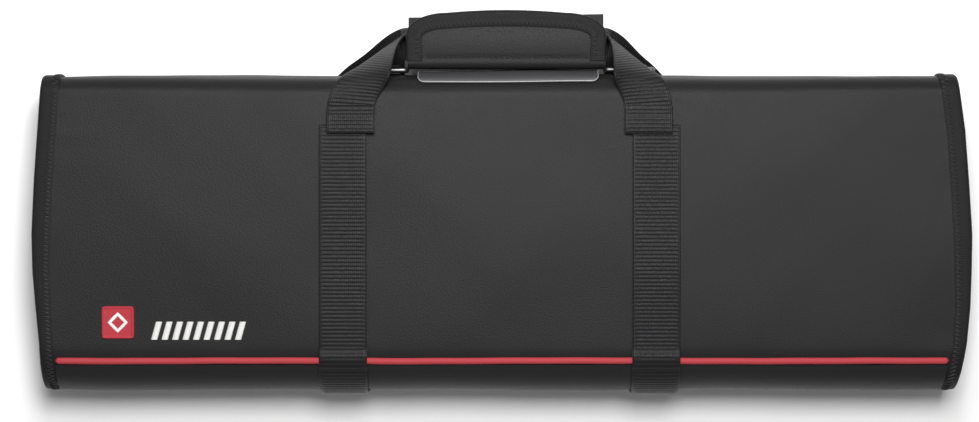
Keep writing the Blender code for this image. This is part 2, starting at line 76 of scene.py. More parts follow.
# How the two ends bow out down the front, as shares of the bows, and the binding's width there
END_SHAPE = (
    # share from crease to hem, left bow, right bow, binding width
    (0.00, 0.00, 0.00, 1.00),
    (0.16, 0.35, 0.50, 1.00),
    (0.32, 0.72, 0.76, 1.00),
    (0.50, 1.00, 1.00, 1.00),
    (0.62, 0.90, 0.96, 0.90),
    (0.74, 0.52, 0.88, 0.80),
    (0.86, 0.12, 0.62, 0.70),
    (1.00, 0.00, 0.10, 0.70),
)

# The front loop from the crease into the grip. Across: from where it is sewn (0) to the grip's end (1).
# Along: from the crease (0) to its way in (1). Level: from the grip's middle (0) to the front (1).
FRONT_LOOP = (
    # across, along, level, heading, roll, width
    (0.00, -0.64, 1.04, 2, 0, 1.00),
    (0.05, -0.38, 1.04, 5, 0, 1.00),
    (0.18, -0.09, 1.01, 8, -10, 1.00),
    (0.31, 0.09, 0.93, 8, -28, 1.00),
    (0.41, 0.23, 0.81, 8, -42, 0.98),
    (0.53, 0.43, 0.58, 10, -55, 0.90),
    (0.73, 0.75, 0.20, 20, -72, 0.66),
    (0.90, 0.96, 0.03, 50, -84, 0.38),
    (1.02, 1.03, 0.02, 84, -90, 0.36),
    (1.35, 1.03, 0.02, 90, -90, 0.36),
)

# The back webbing from under the roll into the grip, in the same terms, its level from the floor (0)
# to the grip's lower wall (1)
BACK_LOOP = (
    # across, along, level, heading, roll, width
    (0.00, -0.90, 0.00, 0, 0, 1.00),
    (0.06, -0.26, 0.00, 16, 0, 1.00),
    (0.22, -0.04, 0.10, 38, 5, 1.00),
    (0.50, 0.24, 0.33, 50, 18, 0.98),
    (0.76, 0.54, 0.72, 62, 12, 0.93),
    (0.89, 0.78, 1.00, 80, 0, 0.70),
    (1.00, 0.84, 1.01, 90, 0, 0.66),
    (1.25, 0.84, 1.01, 90, 0, 0.66),
)

# Low swells of the padding, as long waves over the sheet
SWELLS = (
    # mm along the roll, mm along the fold, turn, height in mm
    (210.0, 95.0, 0.4, 0.35),
    (130.0, 160.0, 2.1, 0.28),
    (74.0, 61.0, 4.0, 0.12),
    (38.0, 47.0, 1.3, 0.05),
)

# The puckers along the end tapes: their pitch, how far they run in and how high they stand
PUCKER_PITCH = 17 * MM
PUCKER_REACH = 9 * MM
PUCKER_HEIGHT = 0.14 * MM

# The dips in the padding under the straps and along the piping, with the half widths of their bells
STRAP_DIP = 0.35 * MM
STRAP_DIP_WIDTH = 17 * MM
PIPING_DIP = 0.45 * MM
PIPING_DIP_WIDTH = 5 * MM

# Half the thickness of the sewing thread
THREAD = 0.28 * MM

# Zigzag stitches: their pitch, and how far their two rows of points stay inside the tape's inner edge
END_ZIGZAG = (2.2 * MM, 0.5 * MM, 4.0 * MM)
GRIP_ZIGZAG = (2.4 * MM, 0.6 * MM, 4.4 * MM)

# The row that holds a loop's foot: the distance between two stitches and half a stitch's length
LOOP_STITCH_PITCH = 2.3 * MM
LOOP_STITCH_HALF = 0.75 * MM

# How far the seam across the grip lies below its top, how deep it draws in and how wide
SEAM_PLACE = 24.5 * MM
SEAM_DEPTH = 0.35 * MM
SEAM_WIDTH = 0.9 * MM

# The swell of the grip's front between its binding and its fold
GRIP_SWELL = 1.4 * MM

# The clear sleeve: its corners' radius, its film's thickness, and how far its foot stands off the spine
SLEEVE_CORNER = 3.0 * MM
SLEEVE_FILM = 0.7 * MM
SLEEVE_FLARE = 1.1 * MM
RIM_RADIUS = 0.36 * MM

# Radius of the D-rings' corners
RING_CORNER = 1.6 * MM


def length(name, description, mm):
    """A length property given in millimetres."""
    return FloatProperty(name=name, description=description, default=mm * MM, unit="LENGTH", precision=5)


def share(name, description, value):
    """A plain number between 0 and 1 or near it."""
    return FloatProperty(name=name, description=description, default=value)


def colour(name, description, value):
    """A colour given as an sRGB hex value."""
    return StringProperty(name=name, description=description, default=value)


def power(name, description, watts):
    """A lamp's power in watts."""
    return FloatProperty(name=name, description=description, default=watts)


class RollSizes(bpy.types.PropertyGroup):
    """The folded sheet and its edges."""

    along: length("Length", "Length of the roll between its two bound ends", 485.5)
    depth: length("Depth", "Depth of the closed roll from the hem side to the spine", 164.7)
    thickness: length("Thickness", "Thickness of the closed roll", 54.0)
    panel: length("Padded sheet", "Thickness of the padded canvas", 3.0)
    layers: length("Layer pitch", "Distance between the middles of two sheets that lie on each other", 6.5)
    crown: length("Front crown", "How far the front swells in the middle", 3.0)
    hem_radius: length("Hem radius", "Outer radius of the turn at the hem side", 22.0)
    crease_radius: length("Crease radius", "Outer radius of the crease between front and spine", 6.5)
    back_radius: length("Back radius", "Outer radius of the turns at the back", 13.0)
    inner_radius: length("Inner radius", "Radius of the inner flap's last turn", 9.0)
    tail: length("Front flap", "How far the front flap laps down over the hem side", 38.0)
    inner_short: length("Inner gap", "How far the inner flap stops short of the spine", 15.0)
    inner_drop: length("Inner drop", "How far the inner flap's free edge turns down", 20.0)
    inner_inset: length("Inner inset", "How far the inner flap's ends stay inside", 2.0)
    slant: length("Spine slant", "How far the spine's foot stays behind the crease", 5.0)
    bulge: length("Spine bulge", "How far the spine swells in the middle", 6.2)
    bulge_at_ends: length("Spine bulge at the ends", "How far the spine swells at its ends", 4.2)
    sag: length("Crease sag", "How far the crease sags in between the ends in the middle", 1.6)
    bow_left: length("Left bow", "How far the left end bows out", 4.4)
    bow_right: length("Right bow", "How far the right end bows out", 6.6)
    gap: length("Gap", "Clearance between two pieces", 0.3)
    tape: length("Tape", "Thickness of the binding tape", 0.8)
    binding: length("Binding width", "Width of the end bindings", 9.0)
    band: length("Hem band", "Thickness of the band along the front flap's hem", 1.0)
    band_turn: length("Hem turn", "How far the hem band turns in under the flap", 12.0)
    piping_width: length("Piping width", "Width of the red piping", 3.3)
    piping_height: length("Piping height", "Height of the red piping over the canvas", 1.9)
    piping_place: length("Piping place", "Distance of the piping from the hem side", 15.7)


class WebbingSizes(bpy.types.PropertyGroup):
    """The ribbed webbing of the straps and the loops."""

    width: length("Width", "Width of the webbing", 25.4)
    thick: length("Thickness", "Thickness of the webbing", 1.7)
    spacing: length("Strap spacing", "Distance between the two straps' middles", 166.0)
    top: length("Strap top", "Distance of the straps' upper ends from the hem side", 141.0)
    loop_spacing: length("Loop spacing", "Distance between the loop's two feet", 157.7)
    lap: length("Lap", "How far the loop laps over the straps", 5.0)
    floor_radius: length("Floor radius", "Radius of the turn from the hem side to the back", 7.0)
    rib_pitch: length("Rib pitch", "Distance between the ribs", 2.1)
    rib_height: length("Rib height", "Depth of the furrows between the ribs", 0.28)


class GripSizes(bpy.types.PropertyGroup):
    """The padded grip round the loops."""

    reach: length("Reach", "Distance of the grip's top from the crease", 36.6)
    shift: length("Shift", "How far the grip sits to the right of the middle", 3.5)
    along: length("Length", "Length of the grip", 105.4)
    height: length("Height", "Height of the grip, from its fold to its top", 30.1)
    thickness: length("Thickness", "Thickness of the closed grip", 19.0)
    wall: length("Wall", "Thickness of the padded canvas", 2.4)
    lift: length("Lift", "Height of the grip's middle over the floor", 33.0)
    fold_radius: length("Fold radius", "Radius of the grip's lower fold", 5.5)
    corner_x: length("Corner length", "Length of the front flap's round corners", 21.0)
    corner_y: length("Corner height", "Height of the front flap's round corners", 12.0)
    arch: length("Arch", "How far the top arches up in the middle", 1.6)
    back_short: length("Back layer", "How far the square back layer stays below the top", 2.0)
    back_slant: length("Back slant", "How far the back layer's top rises from left to right", 2.4)
    tape_width: length("Tape width", "Width of the binding on the grip's edge", 8.0)


class FittingSizes(bpy.types.PropertyGroup):
    """The sleeve, rings and badge."""

    window_length: length("Sleeve length", "Length of the clear sleeve", 96.0)
    window_shift: length("Sleeve shift", "How far the sleeve sits to the right of the middle", 4.5)
    window_low: length("Sleeve foot", "Height of the sleeve's lower edge", 33.0)
    window_high: length("Sleeve top", "Height of the sleeve's upper edge", 52.0)
    ring_inner: length("Ring width", "Inner width of the D-rings", 22.6)
    ring_deep: length("Ring bow", "Depth of the D-rings' bows", 8.0)
    ring_wire: length("Ring wire", "Thickness of the D-rings' wire", 2.7)
    ring_lift: length("Ring lift", "Height of the D-rings' bars over the floor", 36.0)
    ring_offset: length("Ring offset", "Distance of the D-rings from the grip's middle", 66.3)
    tab_width: length("Tab width", "Width of the webbing tabs that hold the rings", 19.0)
    tab_rise: length("Tab rise", "How far the tabs run up over the bars", 4.5)
    badge_side: length("Badge side", "Side of the square woven badge", 17.2)
    badge_from_end: length("Badge from the end", "Distance of the badge's middle from the left end", 40.4)
    badge_from_hem: length("Badge from the hem", "Distance of the badge's middle from the hem side", 35.7)
    bars_from_end: length("Bars from the end", "Distance of the embroidered bars from the left end", 82.6)
    bars_from_hem: length("Bars from the hem", "Distance of the bars' middle from the hem side", 31.3)
    bars_length: length("Bars length", "Length of the row of embroidered bars", 50.0)
    bars_height: length("Bars height", "Height of the embroidered bars", 9.0)


class FinishColours(bpy.types.PropertyGroup):
    """Colours of the real materials."""

    canvas: colour("Canvas", "Coated polyester canvas", "#191919")
    canvas_thread: colour("Canvas thread", "Lighter threads of the canvas", "#242323")
    tape: colour("Tape", "Woven binding tape", "#1B1B1C")
    webbing: colour("Webbing", "Ribbed polypropylene webbing", "#1E1E20")
    # Painted shade: the furrows between the webbing's ribs are given this darker colour
    webbing_furrow_shade: colour("Webbing furrow", "Furrows between the webbing's ribs", "#121213")
    thread: colour("Thread", "Bonded nylon sewing thread", "#28282A")
    piping: colour("Piping", "Red covered cord", "#A23A40")
    # Painted sheen: the clear sleeve is given an opaque grey for the film's reflection over the dark cloth
    vinyl: colour("Vinyl", "Clear sleeve over dark cloth", "#4C4C4E")
    # Painted highlight: the rim's pale colour stands for the light its welded edge catches
    rim: colour("Welded rim", "Clear sleeve's welded edge", "#8C8C8E")
    wire: colour("Wire", "Nickel-plated steel wire", "#7E7E80")
    badge: colour("Badge", "Red woven badge", "#A4323B")
    embroidery: colour("Embroidery", "White embroidery thread", "#D8D8D6")
    floor: colour("Floor", "Pale studio floor", "#F6F6F6")


class StudioSettings(bpy.types.PropertyGroup):
    """The camera and the lights."""

    distance: length("Camera distance", "Height of the camera over the front", 1600.0)
    view_width: length("View width", "Width of the view at the front's height", 519.0)
    aim: FloatVectorProperty(
        name="Aim",
        description="Point under the camera",
        default=(-0.0054, -0.0043, 0.0575),
        subtype="XYZ",
        unit="LENGTH",
    )
    key_power: power("Key power", "Power of the key light", 34.0)
    strip_power: power("Strip power", "Power of the strip light", 4.8)
    back_power: power("Back power", "Power of the light behind the grip", 0.8)
    front_power: power("Front power", "Power of the low light in front", 0.6)
    fill: share("Fill", "Strength of the even light from all round", 0.14)


def linear(hex_value):
    """An sRGB hex colour as linear red, green, blue and an alpha of 1."""
    parts = np.array([int(hex_value[k : k + 2], 16) for k in (1, 3, 5)]) / 255
    values = np.where(parts <= 0.04045, parts / 12.92, ((parts + 0.055) / 1.055) ** 2.4)
    return (*values.tolist(), 1.0)


def unit(vectors):
    """Vectors scaled to length 1."""
    return vectors / np.maximum(np.linalg.norm(vectors, axis=-1, keepdims=True), 1e-12)


def lengths_along(points):
    """The length along a line of points, from the first one to each."""
    return np.concatenate([[0], np.cumsum(np.linalg.norm(np.diff(points, axis=0), axis=1))])


def step(low, high, value):
    """A smooth step: 0 below low, 1 above high, 3t^2 - 2t^3 between."""
    t = np.clip((np.asarray(value, float) - low) / (high - low), 0, 1)
    return t * t * (3 - 2 * t)


def bell(value, width):
    """A bell of height 1: exp(-(value / width)^2)."""
    return np.exp(-((np.asarray(value, float) / width) ** 2))


def put_mesh(name, points, faces, finish, uv=None, sharp=50):
    """A closed mesh from points and groups of like faces, turned outwards, with places on the cloth.

    Its signed volume, the sum of p0 . (p1 x p2) / 6 over its triangles, says whether the faces point out.
    """
    points = np.asarray(points, float).reshape(-1, 3)
    volume = 0.0
    for group in faces:
        first = points[group[:, 0]]
        for k in range(1, group.shape[1] - 1):
            volume += float(np.sum(first * np.cross(points[group[:, k]], points[group[:, k + 1]])))
    if volume < 0:
        faces = [group[:, ::-1] for group in faces]
    mesh = bpy.data.meshes.new(name)
    mesh.vertices.add(len(points))
    mesh.vertices.foreach_set("co", points.ravel())
    corners = np.concatenate([group.ravel() for group in faces])
    totals = np.concatenate([np.full(len(group), group.shape[1]) for group in faces])
    mesh.loops.add(len(corners))
    mesh.loops.foreach_set("vertex_index", corners.astype(np.int32))
    mesh.polygons.add(len(totals))
    mesh.polygons.foreach_set("loop_start", np.concatenate([[0], np.cumsum(totals)[:-1]]).astype(np.int32))
    mesh.update(calc_edges=True)
    if uv is not None:
        layer = mesh.uv_layers.new(name="cloth")
        layer.data.foreach_set("uv", np.asarray(uv, float).reshape(-1, 2)[corners].ravel())
    mesh.materials.append(finish)
    mesh.shade_smooth()
    mesh.set_sharp_from_angle(angle=math.radians(sharp))
    made = bpy.data.objects.new(name, mesh)
    bpy.context.scene.collection.objects.link(made)
    if mesh.validate():
        raise RuntimeError(f"{name} has faces that Blender can't use")
    return made


def slab(name, outer, inner, finish, uv=None, sharp=50):
    """A solid between two grids of points, (rows, columns, 3), closed by a wall round their edges."""
    rows, columns = outer.shape[:2]
    count = rows * columns
    index = np.arange(count).reshape(rows, columns)
    quads = np.stack([index[:-1, :-1], index[1:, :-1], index[1:, 1:], index[:-1, 1:]], axis=-1).reshape(-1, 4)
    rim = np.concatenate([index[:-1, 0], index[-1, :-1], index[:0:-1, -1], index[0, :0:-1]])
    after = np.roll(rim, -1)
    wall = np.stack([rim, after, after + count, rim + count], axis=-1)
    faces = np.concatenate([quads, quads[:, ::-1] + count, wall])
    points = np.concatenate([outer.reshape(-1, 3), inner.reshape(-1, 3)])
    both = None if uv is None else np.concatenate([uv.reshape(-1, 2)] * 2)
    return put_mesh(name, points, [faces], finish, both, sharp)


def sweep(name, rings, finish, closed=False, uv=None, sharp=50):
    """A solid through rings of points, (stations, sides, 3), joined end to end or capped at both ends."""
    count, sides = rings.shape[:2]
    index = np.arange(count * sides).reshape(count, sides)
    start = index if closed else index[:-1]
    end = np.roll(index, -1, axis=0) if closed else index[1:]
    quads = np.stack([start, end, np.roll(end, -1, axis=1), np.roll(start, -1, axis=1)], axis=-1)
    faces = [quads.reshape(-1, 4)]
    if not closed:
        faces.append(np.stack([index[0], index[-1, ::-1]]))
    return put_mesh(name, rings, faces, finish, uv, sharp)


def stitches(name, start, end, up, radius, finish, sides=5):
    """Single stitches: each is a rod from start to end whose ends dip into the cloth and taper.

    Ring k stands at a share of the way, lifted by radius times a height, with a thickness of its own.
    """
    share_at = np.array([-0.04, 0.10, 0.50, 0.90, 1.04])
    lift = np.array([-0.9, 0.35, 0.70, 0.35, -0.9]) * radius
    thick = np.array([0.35, 0.90, 1.00, 0.90, 0.35]) * radius
    start, end, up = (np.asarray(v, float).reshape(-1, 3) for v in (start, end, up))
    along = unit(end - start)
    side = unit(np.cross(up, along))
    rise = np.cross(along, side)
    centre = start[:, None] + (end - start)[:, None] * share_at[:, None] + rise[:, None] * lift[:, None]
    turn = np.linspace(0, 2 * math.pi, sides, endpoint=False)
    spoke = side[:, None] * np.cos(turn)[:, None] + rise[:, None] * np.sin(turn)[:, None]
    points = centre[:, :, None] + spoke[:, None] * thick[:, None, None]
    count, rings = len(start), len(share_at)
    index = np.arange(count * rings * sides).reshape(count, rings, sides)
    a, b = index[:, :-1], index[:, 1:]
    quads = np.stack([a, b, np.roll(b, -1, axis=2), np.roll(a, -1, axis=2)], axis=-1).reshape(-1, 4)
    caps = np.concatenate([index[:, 0], index[:, -1, ::-1]])
    return put_mesh(name, points, [quads, caps], finish)


def rounded(corners, radii, run_step=2.5 * MM, arc_steps=20):
    """A line through corners, each turned with an arc of its radius, with points along the long runs."""
    corners = [np.array(c, float) for c in corners]
    line = [corners[0]]

    def run_to(end):
        start = line[-1]
        steps = max(1, round(float(np.linalg.norm(end - start)) / run_step))
        line.extend(start + (end - start) * k / steps for k in range(1, steps + 1))

    for before, corner, after, radius in zip(corners, corners[1:], corners[2:], radii):
        into, out = unit(corner - before), unit(after - corner)
        turn = math.acos(float(np.clip(into @ out, -1, 1)))
        run_to(corner - into * radius * math.tan(turn / 2))
        centre = corner + unit(out - into) * radius / math.cos(turn / 2)
        spoke = line[-1] - centre
        steps = max(2, round(arc_steps * turn / (math.pi / 2)))
        for k in range(1, steps + 1):
            angle = turn * k / steps
            line.append(centre + spoke * math.cos(angle) + into * radius * math.sin(angle))
    run_to(corners[-1])
    return np.array(line)


def eased(rows, count):
    """Columns of numbers read off a smooth curve through the rows (Catmull-Rom), at even steps."""
    rows = np.array(rows, float)
    padded = np.concatenate([2 * rows[:1] - rows[1:2], rows, 2 * rows[-1:] - rows[-2:-1]])
    at = np.linspace(0, len(rows) - 1, count)
    k = np.minimum(at.astype(int), len(rows) - 2)
    t = (at - k)[:, None]
    a, b, c, d = (padded[k + i] for i in range(4))
    return b + t / 2 * (c - a + t * (2 * a - 5 * b + 4 * c - d + t * (3 * (b - c) + d - a)))


class Fold:
    """The sheet's fold line seen from the end, and points on the sheet anywhere along it.

    s is the length along the fold, from the front flap's free edge over the front, the crease, the spine,
    the back and the inner hem side to the inner flap's free edge.
    """

    def __init__(self):
        roll = bpy.context.scene.roll_sizes
        webbing = bpy.context.scene.webbing_sizes
        grip = bpy.context.scene.grip_sizes
        self.roll = roll
        self.half = roll.panel / 2
        build = roll.band + webbing.thick + 2 * roll.gap
        self.hem_build = build
        self.hem_face = build - (roll.depth + grip.reach + build) / 2
        self.crease_face = self.hem_face + roll.depth
        self.grip_top = self.crease_face + grip.reach
        self.back_level = webbing.thick + roll.gap
        self.front_level = self.back_level + roll.thickness
        hem, crease = self.hem_face + self.half, self.crease_face - self.half
        front, back = self.front_level - self.half, self.back_level + self.half
        foot, inner_front = crease - roll.slant, front - roll.layers
        inner_edge = crease - roll.inner_short
        corners = (
            (hem, front - roll.tail),
            (hem, front),
            (crease, front),
            (foot, back),
            (hem + roll.layers, back),
            (hem + roll.layers, inner_front),
            (inner_edge, inner_front),
            (inner_edge, inner_front - roll.inner_drop),
        )
        turns = (roll.hem_radius, roll.crease_radius, roll.back_radius, roll.back_radius)
        turns += (roll.hem_radius - roll.layers, roll.inner_radius)
        line = rounded(corners, [radius - self.half for radius in turns])
        self.y, self.z = line.T
        self.s = lengths_along(line)
        across = np.clip((self.y - hem) / (crease - hem), 0, 1)
        level = np.clip((self.z - back) / (front - back), 0, 1)
        self.top = int(np.argmax(self.y))
        self.foot = int(np.argmax(self.z <= back + 1e-6))
        self.crest = int(np.flatnonzero(self.z >= front - 1e-6)[-1])
        outside = np.arange(len(line)) <= self.foot
        on_spine = outside & (self.y > foot - roll.back_radius) & (across > 0.5)
        self.crown = np.where(level > 0.5, 4 * across * (1 - across), 0) * roll.crown
        self.bulge = np.where(on_spine, 4 * level * (1 - level), 0)
        self.sag = np.where(outside, np.where(level > 0.999, across**6, level**2 * on_spine), 0)
        down = np.clip((crease - self.y) / (crease - hem), 0, 1)
        table = np.array(END_SHAPE)
        left, right, width = (np.interp(down, table[:, 0], table[:, k]) for k in (1, 2, 3))
        inside = np.clip((self.s - self.s[self.foot]) / roll.depth, 0, 1)
        ends = roll.along / 2
        self.left = -ends - roll.bow_left * left * (1 - inside) + roll.inner_inset * inside
        self.right = ends + roll.bow_right * right * (1 - inside) - roll.inner_inset * inside
        self.binding = roll.binding * width
        self.piping = self.front_place(self.hem_face + roll.piping_place)

    def read(self, values, s):
        """A value of the fold line at lengths s."""
        return np.interp(s, self.s, values)

    def front_place(self, y):
        """The length along the fold at which the front lies at y."""
        return float(np.interp(y, self.y[: self.top + 1], self.s[: self.top + 1]))

    def spine_place(self, z):
        """The length along the fold at which the spine lies at height z."""
        spine = slice(self.crest, self.foot)
        return float(np.interp(-z, -self.z[spine], self.s[spine]))

    def ends(self, s, inset=0.0):
        """The sheet's left and right end at lengths s, moved in from the bindings by a share of them."""
        return self.read(self.left + inset * self.binding, s), self.read(self.right - inset * self.binding, s)

    def base(self, s, x):
        """The place (y, z) of the sheet's middle: the fold line with the bulge, the sag and the crown."""
        roll = self.roll
        outness = np.clip(1 - (x / (roll.along / 2)) ** 2, 0, 1)
        bulge = roll.bulge_at_ends + (roll.bulge - roll.bulge_at_ends) * outness
        sag = roll.sag * outness
        y = self.read(self.y, s) + self.read(self.bulge, s) * bulge - self.read(self.sag, s) * sag
        z = self.read(self.z, s) + self.read(self.crown, s)
        return y, z + 0 * y

    def relief(self, s, x):
        """How far the cloth swells or dips: long waves, dips under the straps and the piping, puckers."""
        height = np.zeros(np.broadcast_shapes(np.shape(s), np.shape(x)))
        for along, fold, turn, high in SWELLS:
            over_roll = np.sin(2 * math.pi * x / (along * MM) + turn)
            over_fold = np.sin(2 * math.pi * s / (fold * MM) + 2 * turn)
            height = height + high * MM * over_roll * over_fold
        spacing = bpy.context.scene.webbing_sizes.spacing
        height = height - STRAP_DIP * bell(np.abs(x) - spacing / 2, STRAP_DIP_WIDTH)
        height = height - PIPING_DIP * bell(s - self.piping, PIPING_DIP_WIDTH)
        left, right = self.ends(s)
        inward = np.minimum(x - left, right - x) - self.read(self.binding, s)
        pucker = np.sin(2 * math.pi * s / PUCKER_PITCH + 9 * np.sin(s * 31))
        fading = np.exp(-np.maximum(inward, 0) / PUCKER_REACH)
        return height + PUCKER_HEIGHT * pucker * fading * (inward > 0)

    def at(self, s, x, offset=0.0):
        """Points on the sheet at lengths s and places x along the roll, moved out square to it by offset."""
        s, x, offset = np.broadcast_arrays(*(np.asarray(v, float) for v in (s, x, offset)))
        near = 0.8 * MM
        ahead, behind = self.base(s + near, x), self.base(s - near, x)
        slope = unit(np.stack([ahead[0] - behind[0], ahead[1] - behind[1]], axis=-1))
        out = offset + self.relief(s, x)
        y, z = self.base(s, x)
        return np.stack([x, y - slope[..., 1] * out, z + slope[..., 0] * out], axis=-1)

    def out(self, s, x):
        """Unit vectors square to the sheet, pointing out."""
        return unit(self.at(s, x, MM) - self.at(s, x, 0.0))

    def stations(self, start, end, gap=2.5 * MM):
        """Lengths from start to end, about gap apart on the runs and closer on the turns."""
        own = self.s[(self.s > start + 1e-5) & (self.s < end - 1e-5)]
        keep = [start]
        for value in own:
            if value - keep[-1] >= 0.45 * gap:
                keep.append(value)
        return np.array([*keep, end])


def add_node(tree, kind, links=None, **settings):
    """Adds a node, sets its settings, and gives its inputs a value or a link from another node's output."""
    made = tree.nodes.new(kind)
    for name, value in settings.items():
        setattr(made, name, value)
    for name, value in (links or {}).items():
        socket = made.inputs[name]
        if isinstance(value, bpy.types.NodeSocket):
            tree.links.new(value, socket)
        else:
            socket.default_value = value
    return made


def new_finish(name, base, roughness, metallic=0.0, **sockets):
    """A material with one Principled shader, and its tree, for nodes to be added."""
    made = bpy.data.materials.new(name)
    made.use_nodes = True
    tree = made.node_tree
    shader = tree.nodes["Principled BSDF"]
    shader.inputs["Base Color"].default_value = linear(base)
    shader.inputs["Roughness"].default_value = roughness
    shader.inputs["Metallic"].default_value = metallic
    for socket, value in sockets.items():
        shader.inputs[socket.replace("_", " ")].default_value = value
    return made, tree, shader


def cloth_place(tree):
    """The cloth's own coordinates in metres, apart as along (X) and across (Y)."""
    place = add_node(tree, "ShaderNodeUVMap", uv_map="cloth")
    return place.outputs["UV"], add_node(tree, "ShaderNodeSeparateXYZ", {"Vector": place.outputs["UV"]})


def wave(tree, value, pitch, turn=0.0):
    """sin(2 pi value / pitch + turn) of one coordinate."""
    scaled = combine(tree, "MULTIPLY_ADD", value, 2 * math.pi / pitch, turn)
    return add_node(tree, "ShaderNodeMath", {0: scaled}, operation="SINE").outputs[0]


def grain(tree, place, size, stretch=(1.0, 1.0), detail=2.0, roughness=0.6):
    """Noise on the cloth's coordinates, its grains about size across, longer by stretch."""
    scale = (1 / (size * stretch[0]), 1 / (size * stretch[1]), 1.0)
    mapped = add_node(tree, "ShaderNodeMapping", {"Vector": place, "Scale": scale})
    made = add_node(
        tree,
        "ShaderNodeTexNoise",
        {"Vector": mapped.outputs["Vector"], "Scale": 1.0, "Detail": detail, "Roughness": roughness},
        noise_dimensions="2D",
    )
    return made.outputs["Fac"]


def tint(tree, shader, factor, dark, light):
    """Base colour between two colours by a factor."""
    mixed = add_node(tree, "ShaderNodeMix", {0: factor}, data_type="RGBA")
    mixed.inputs[6].default_value = linear(dark)
    mixed.inputs[7].default_value = linear(light)
    tree.links.new(mixed.outputs[2], shader.inputs["Base Color"])


def bump(tree, shader, height, depth):
    """Relief of a depth in metres from a height between 0 and 1."""
    made = add_node(tree, "ShaderNodeBump", {"Height": height, "Distance": depth, "Strength": 1.0})
    tree.links.new(made.outputs["Normal"], shader.inputs["Normal"])


def combine(tree, operation, first, second, third=0.5):
    """One Math node on two values, or three."""
    return add_node(tree, "ShaderNodeMath", {0: first, 1: second, 2: third}, operation=operation).outputs[0]


def kept(name, maker):
    """A material that is made once."""
    return bpy.data.materials.get(name) or maker(name)


def coated_polyester_canvas(name):
    """Plain-woven 600-denier polyester, coated behind: matt, with a fine even grain and a faint bloom."""
    colours = bpy.context.scene.finish_colours
    made, tree, shader = new_finish(name, colours.canvas, 0.46, Specular_IOR_Level=0.13)
    place, apart = cloth_place(tree)
    # Real threads lie 0.45 mm apart; they are drawn 1.1 mm apart so that some of their grain shows
    pitch = 1.1 * MM
    along, across = (wave(tree, apart.outputs[axis], pitch) for axis in "XY")
    weave = combine(tree, "MULTIPLY", along, across)
    speck = grain(tree, place, 0.9 * MM, detail=2.0, roughness=0.7)
    mixed = combine(tree, "ADD", combine(tree, "MULTIPLY", weave, 0.18), speck)
    tint(tree, shader, mixed, colours.canvas, colours.canvas_thread)
    bump(tree, shader, mixed, 0.16 * MM)
    return made


def woven_binding_tape(name):
    """Soft grosgrain tape: matt, with fine ribs across it."""
    colours = bpy.context.scene.finish_colours
    made, tree, shader = new_finish(name, colours.tape, 0.55, Specular_IOR_Level=0.10)
    place, apart = cloth_place(tree)
    ribs = wave(tree, apart.outputs["Y"], 0.9 * MM)
    mixed = combine(tree, "ADD", combine(tree, "MULTIPLY", ribs, 0.25), grain(tree, place, 0.7 * MM))
    bump(tree, shader, mixed, 0.12 * MM)
    return made


def ribbed_polypropylene_webbing(name):
    """Flat-woven polypropylene: thick yarns, a little glossy on the crests of its ribs."""
    colours = bpy.context.scene.finish_colours
    made, tree, shader = new_finish(name, colours.webbing, 0.44, Specular_IOR_Level=0.17)
    place, apart = cloth_place(tree)
    yarns = wave(tree, apart.outputs["X"], 1.05 * MM)
    fibres = grain(tree, place, 0.6 * MM, (0.7, 1.5))
    mixed = combine(tree, "ADD", combine(tree, "MULTIPLY", yarns, 0.3), fibres)
    # The furrows between the ribs are tinted darker: painted shade in the recesses, on top of their real
    # depth
    furrow = wave(tree, apart.outputs["Y"], bpy.context.scene.webbing_sizes.rib_pitch, -math.pi / 2)
    tint(tree, shader, combine(tree, "MULTIPLY_ADD", furrow, 0.5), colours.webbing_furrow_shade, colours.webbing)
    bump(tree, shader, mixed, 0.14 * MM)
    return made


def bonded_nylon_thread(name):
    """Black bonded nylon: smooth and slightly glossy."""
    return new_finish(name, bpy.context.scene.finish_colours.thread, 0.50, Specular_IOR_Level=0.2)[0]


def covered_cord(name):
    """Red woven cover drawn over a cord: bright, soft gloss, with fine slanting threads."""
    colours = bpy.context.scene.finish_colours
    made, tree, shader = new_finish(name, colours.piping, 0.60, Specular_IOR_Level=0.15)
    _, apart = cloth_place(tree)
    slant = combine(tree, "ADD", apart.outputs["X"], combine(tree, "MULTIPLY", apart.outputs["Y"], 0.8))
    bump(tree, shader, wave(tree, slant, 1.4 * MM), 0.05 * MM)
    return made


def welded_vinyl_sheen(name):
    """Clear PVC film pressed against dark cloth: smooth and glossy, and grey in the light."""
    return new_finish(name, bpy.context.scene.finish_colours.vinyl, 0.22, Specular_IOR_Level=0.5)[0]


def vinyl_rim_highlight(name):
    """The welded edge of the clear film, where it catches the light and looks pale."""
    return new_finish(name, bpy.context.scene.finish_colours.rim, 0.25, Specular_IOR_Level=0.5)[0]


def nickel_plated_wire(name):
    """Bent steel wire, nickel plated: pale grey with a satin gloss."""
    return new_finish(name, bpy.context.scene.finish_colours.wire, 0.45, 1.0)[0]


def woven_badge(name):
    """Red satin-woven badge with a stitched border: fine threads run across it."""
    colours = bpy.context.scene.finish_colours
    made, tree, shader = new_finish(name, colours.badge, 0.55, Specular_IOR_Level=0.15)
    _, apart = cloth_place(tree)
    bump(tree, shader, wave(tree, apart.outputs["Y"], 0.6 * MM), 0.05 * MM)
    return made


def embroidery_thread(name):
    """White polyester embroidery thread: bright with a soft gloss, laid side by side."""
    colours = bpy.context.scene.finish_colours
    made, tree, shader = new_finish(name, colours.embroidery, 0.45, Specular_IOR_Level=0.4)
    _, apart = cloth_place(tree)
    bump(tree, shader, wave(tree, apart.outputs["Y"], 0.5 * MM), 0.05 * MM)
    return made


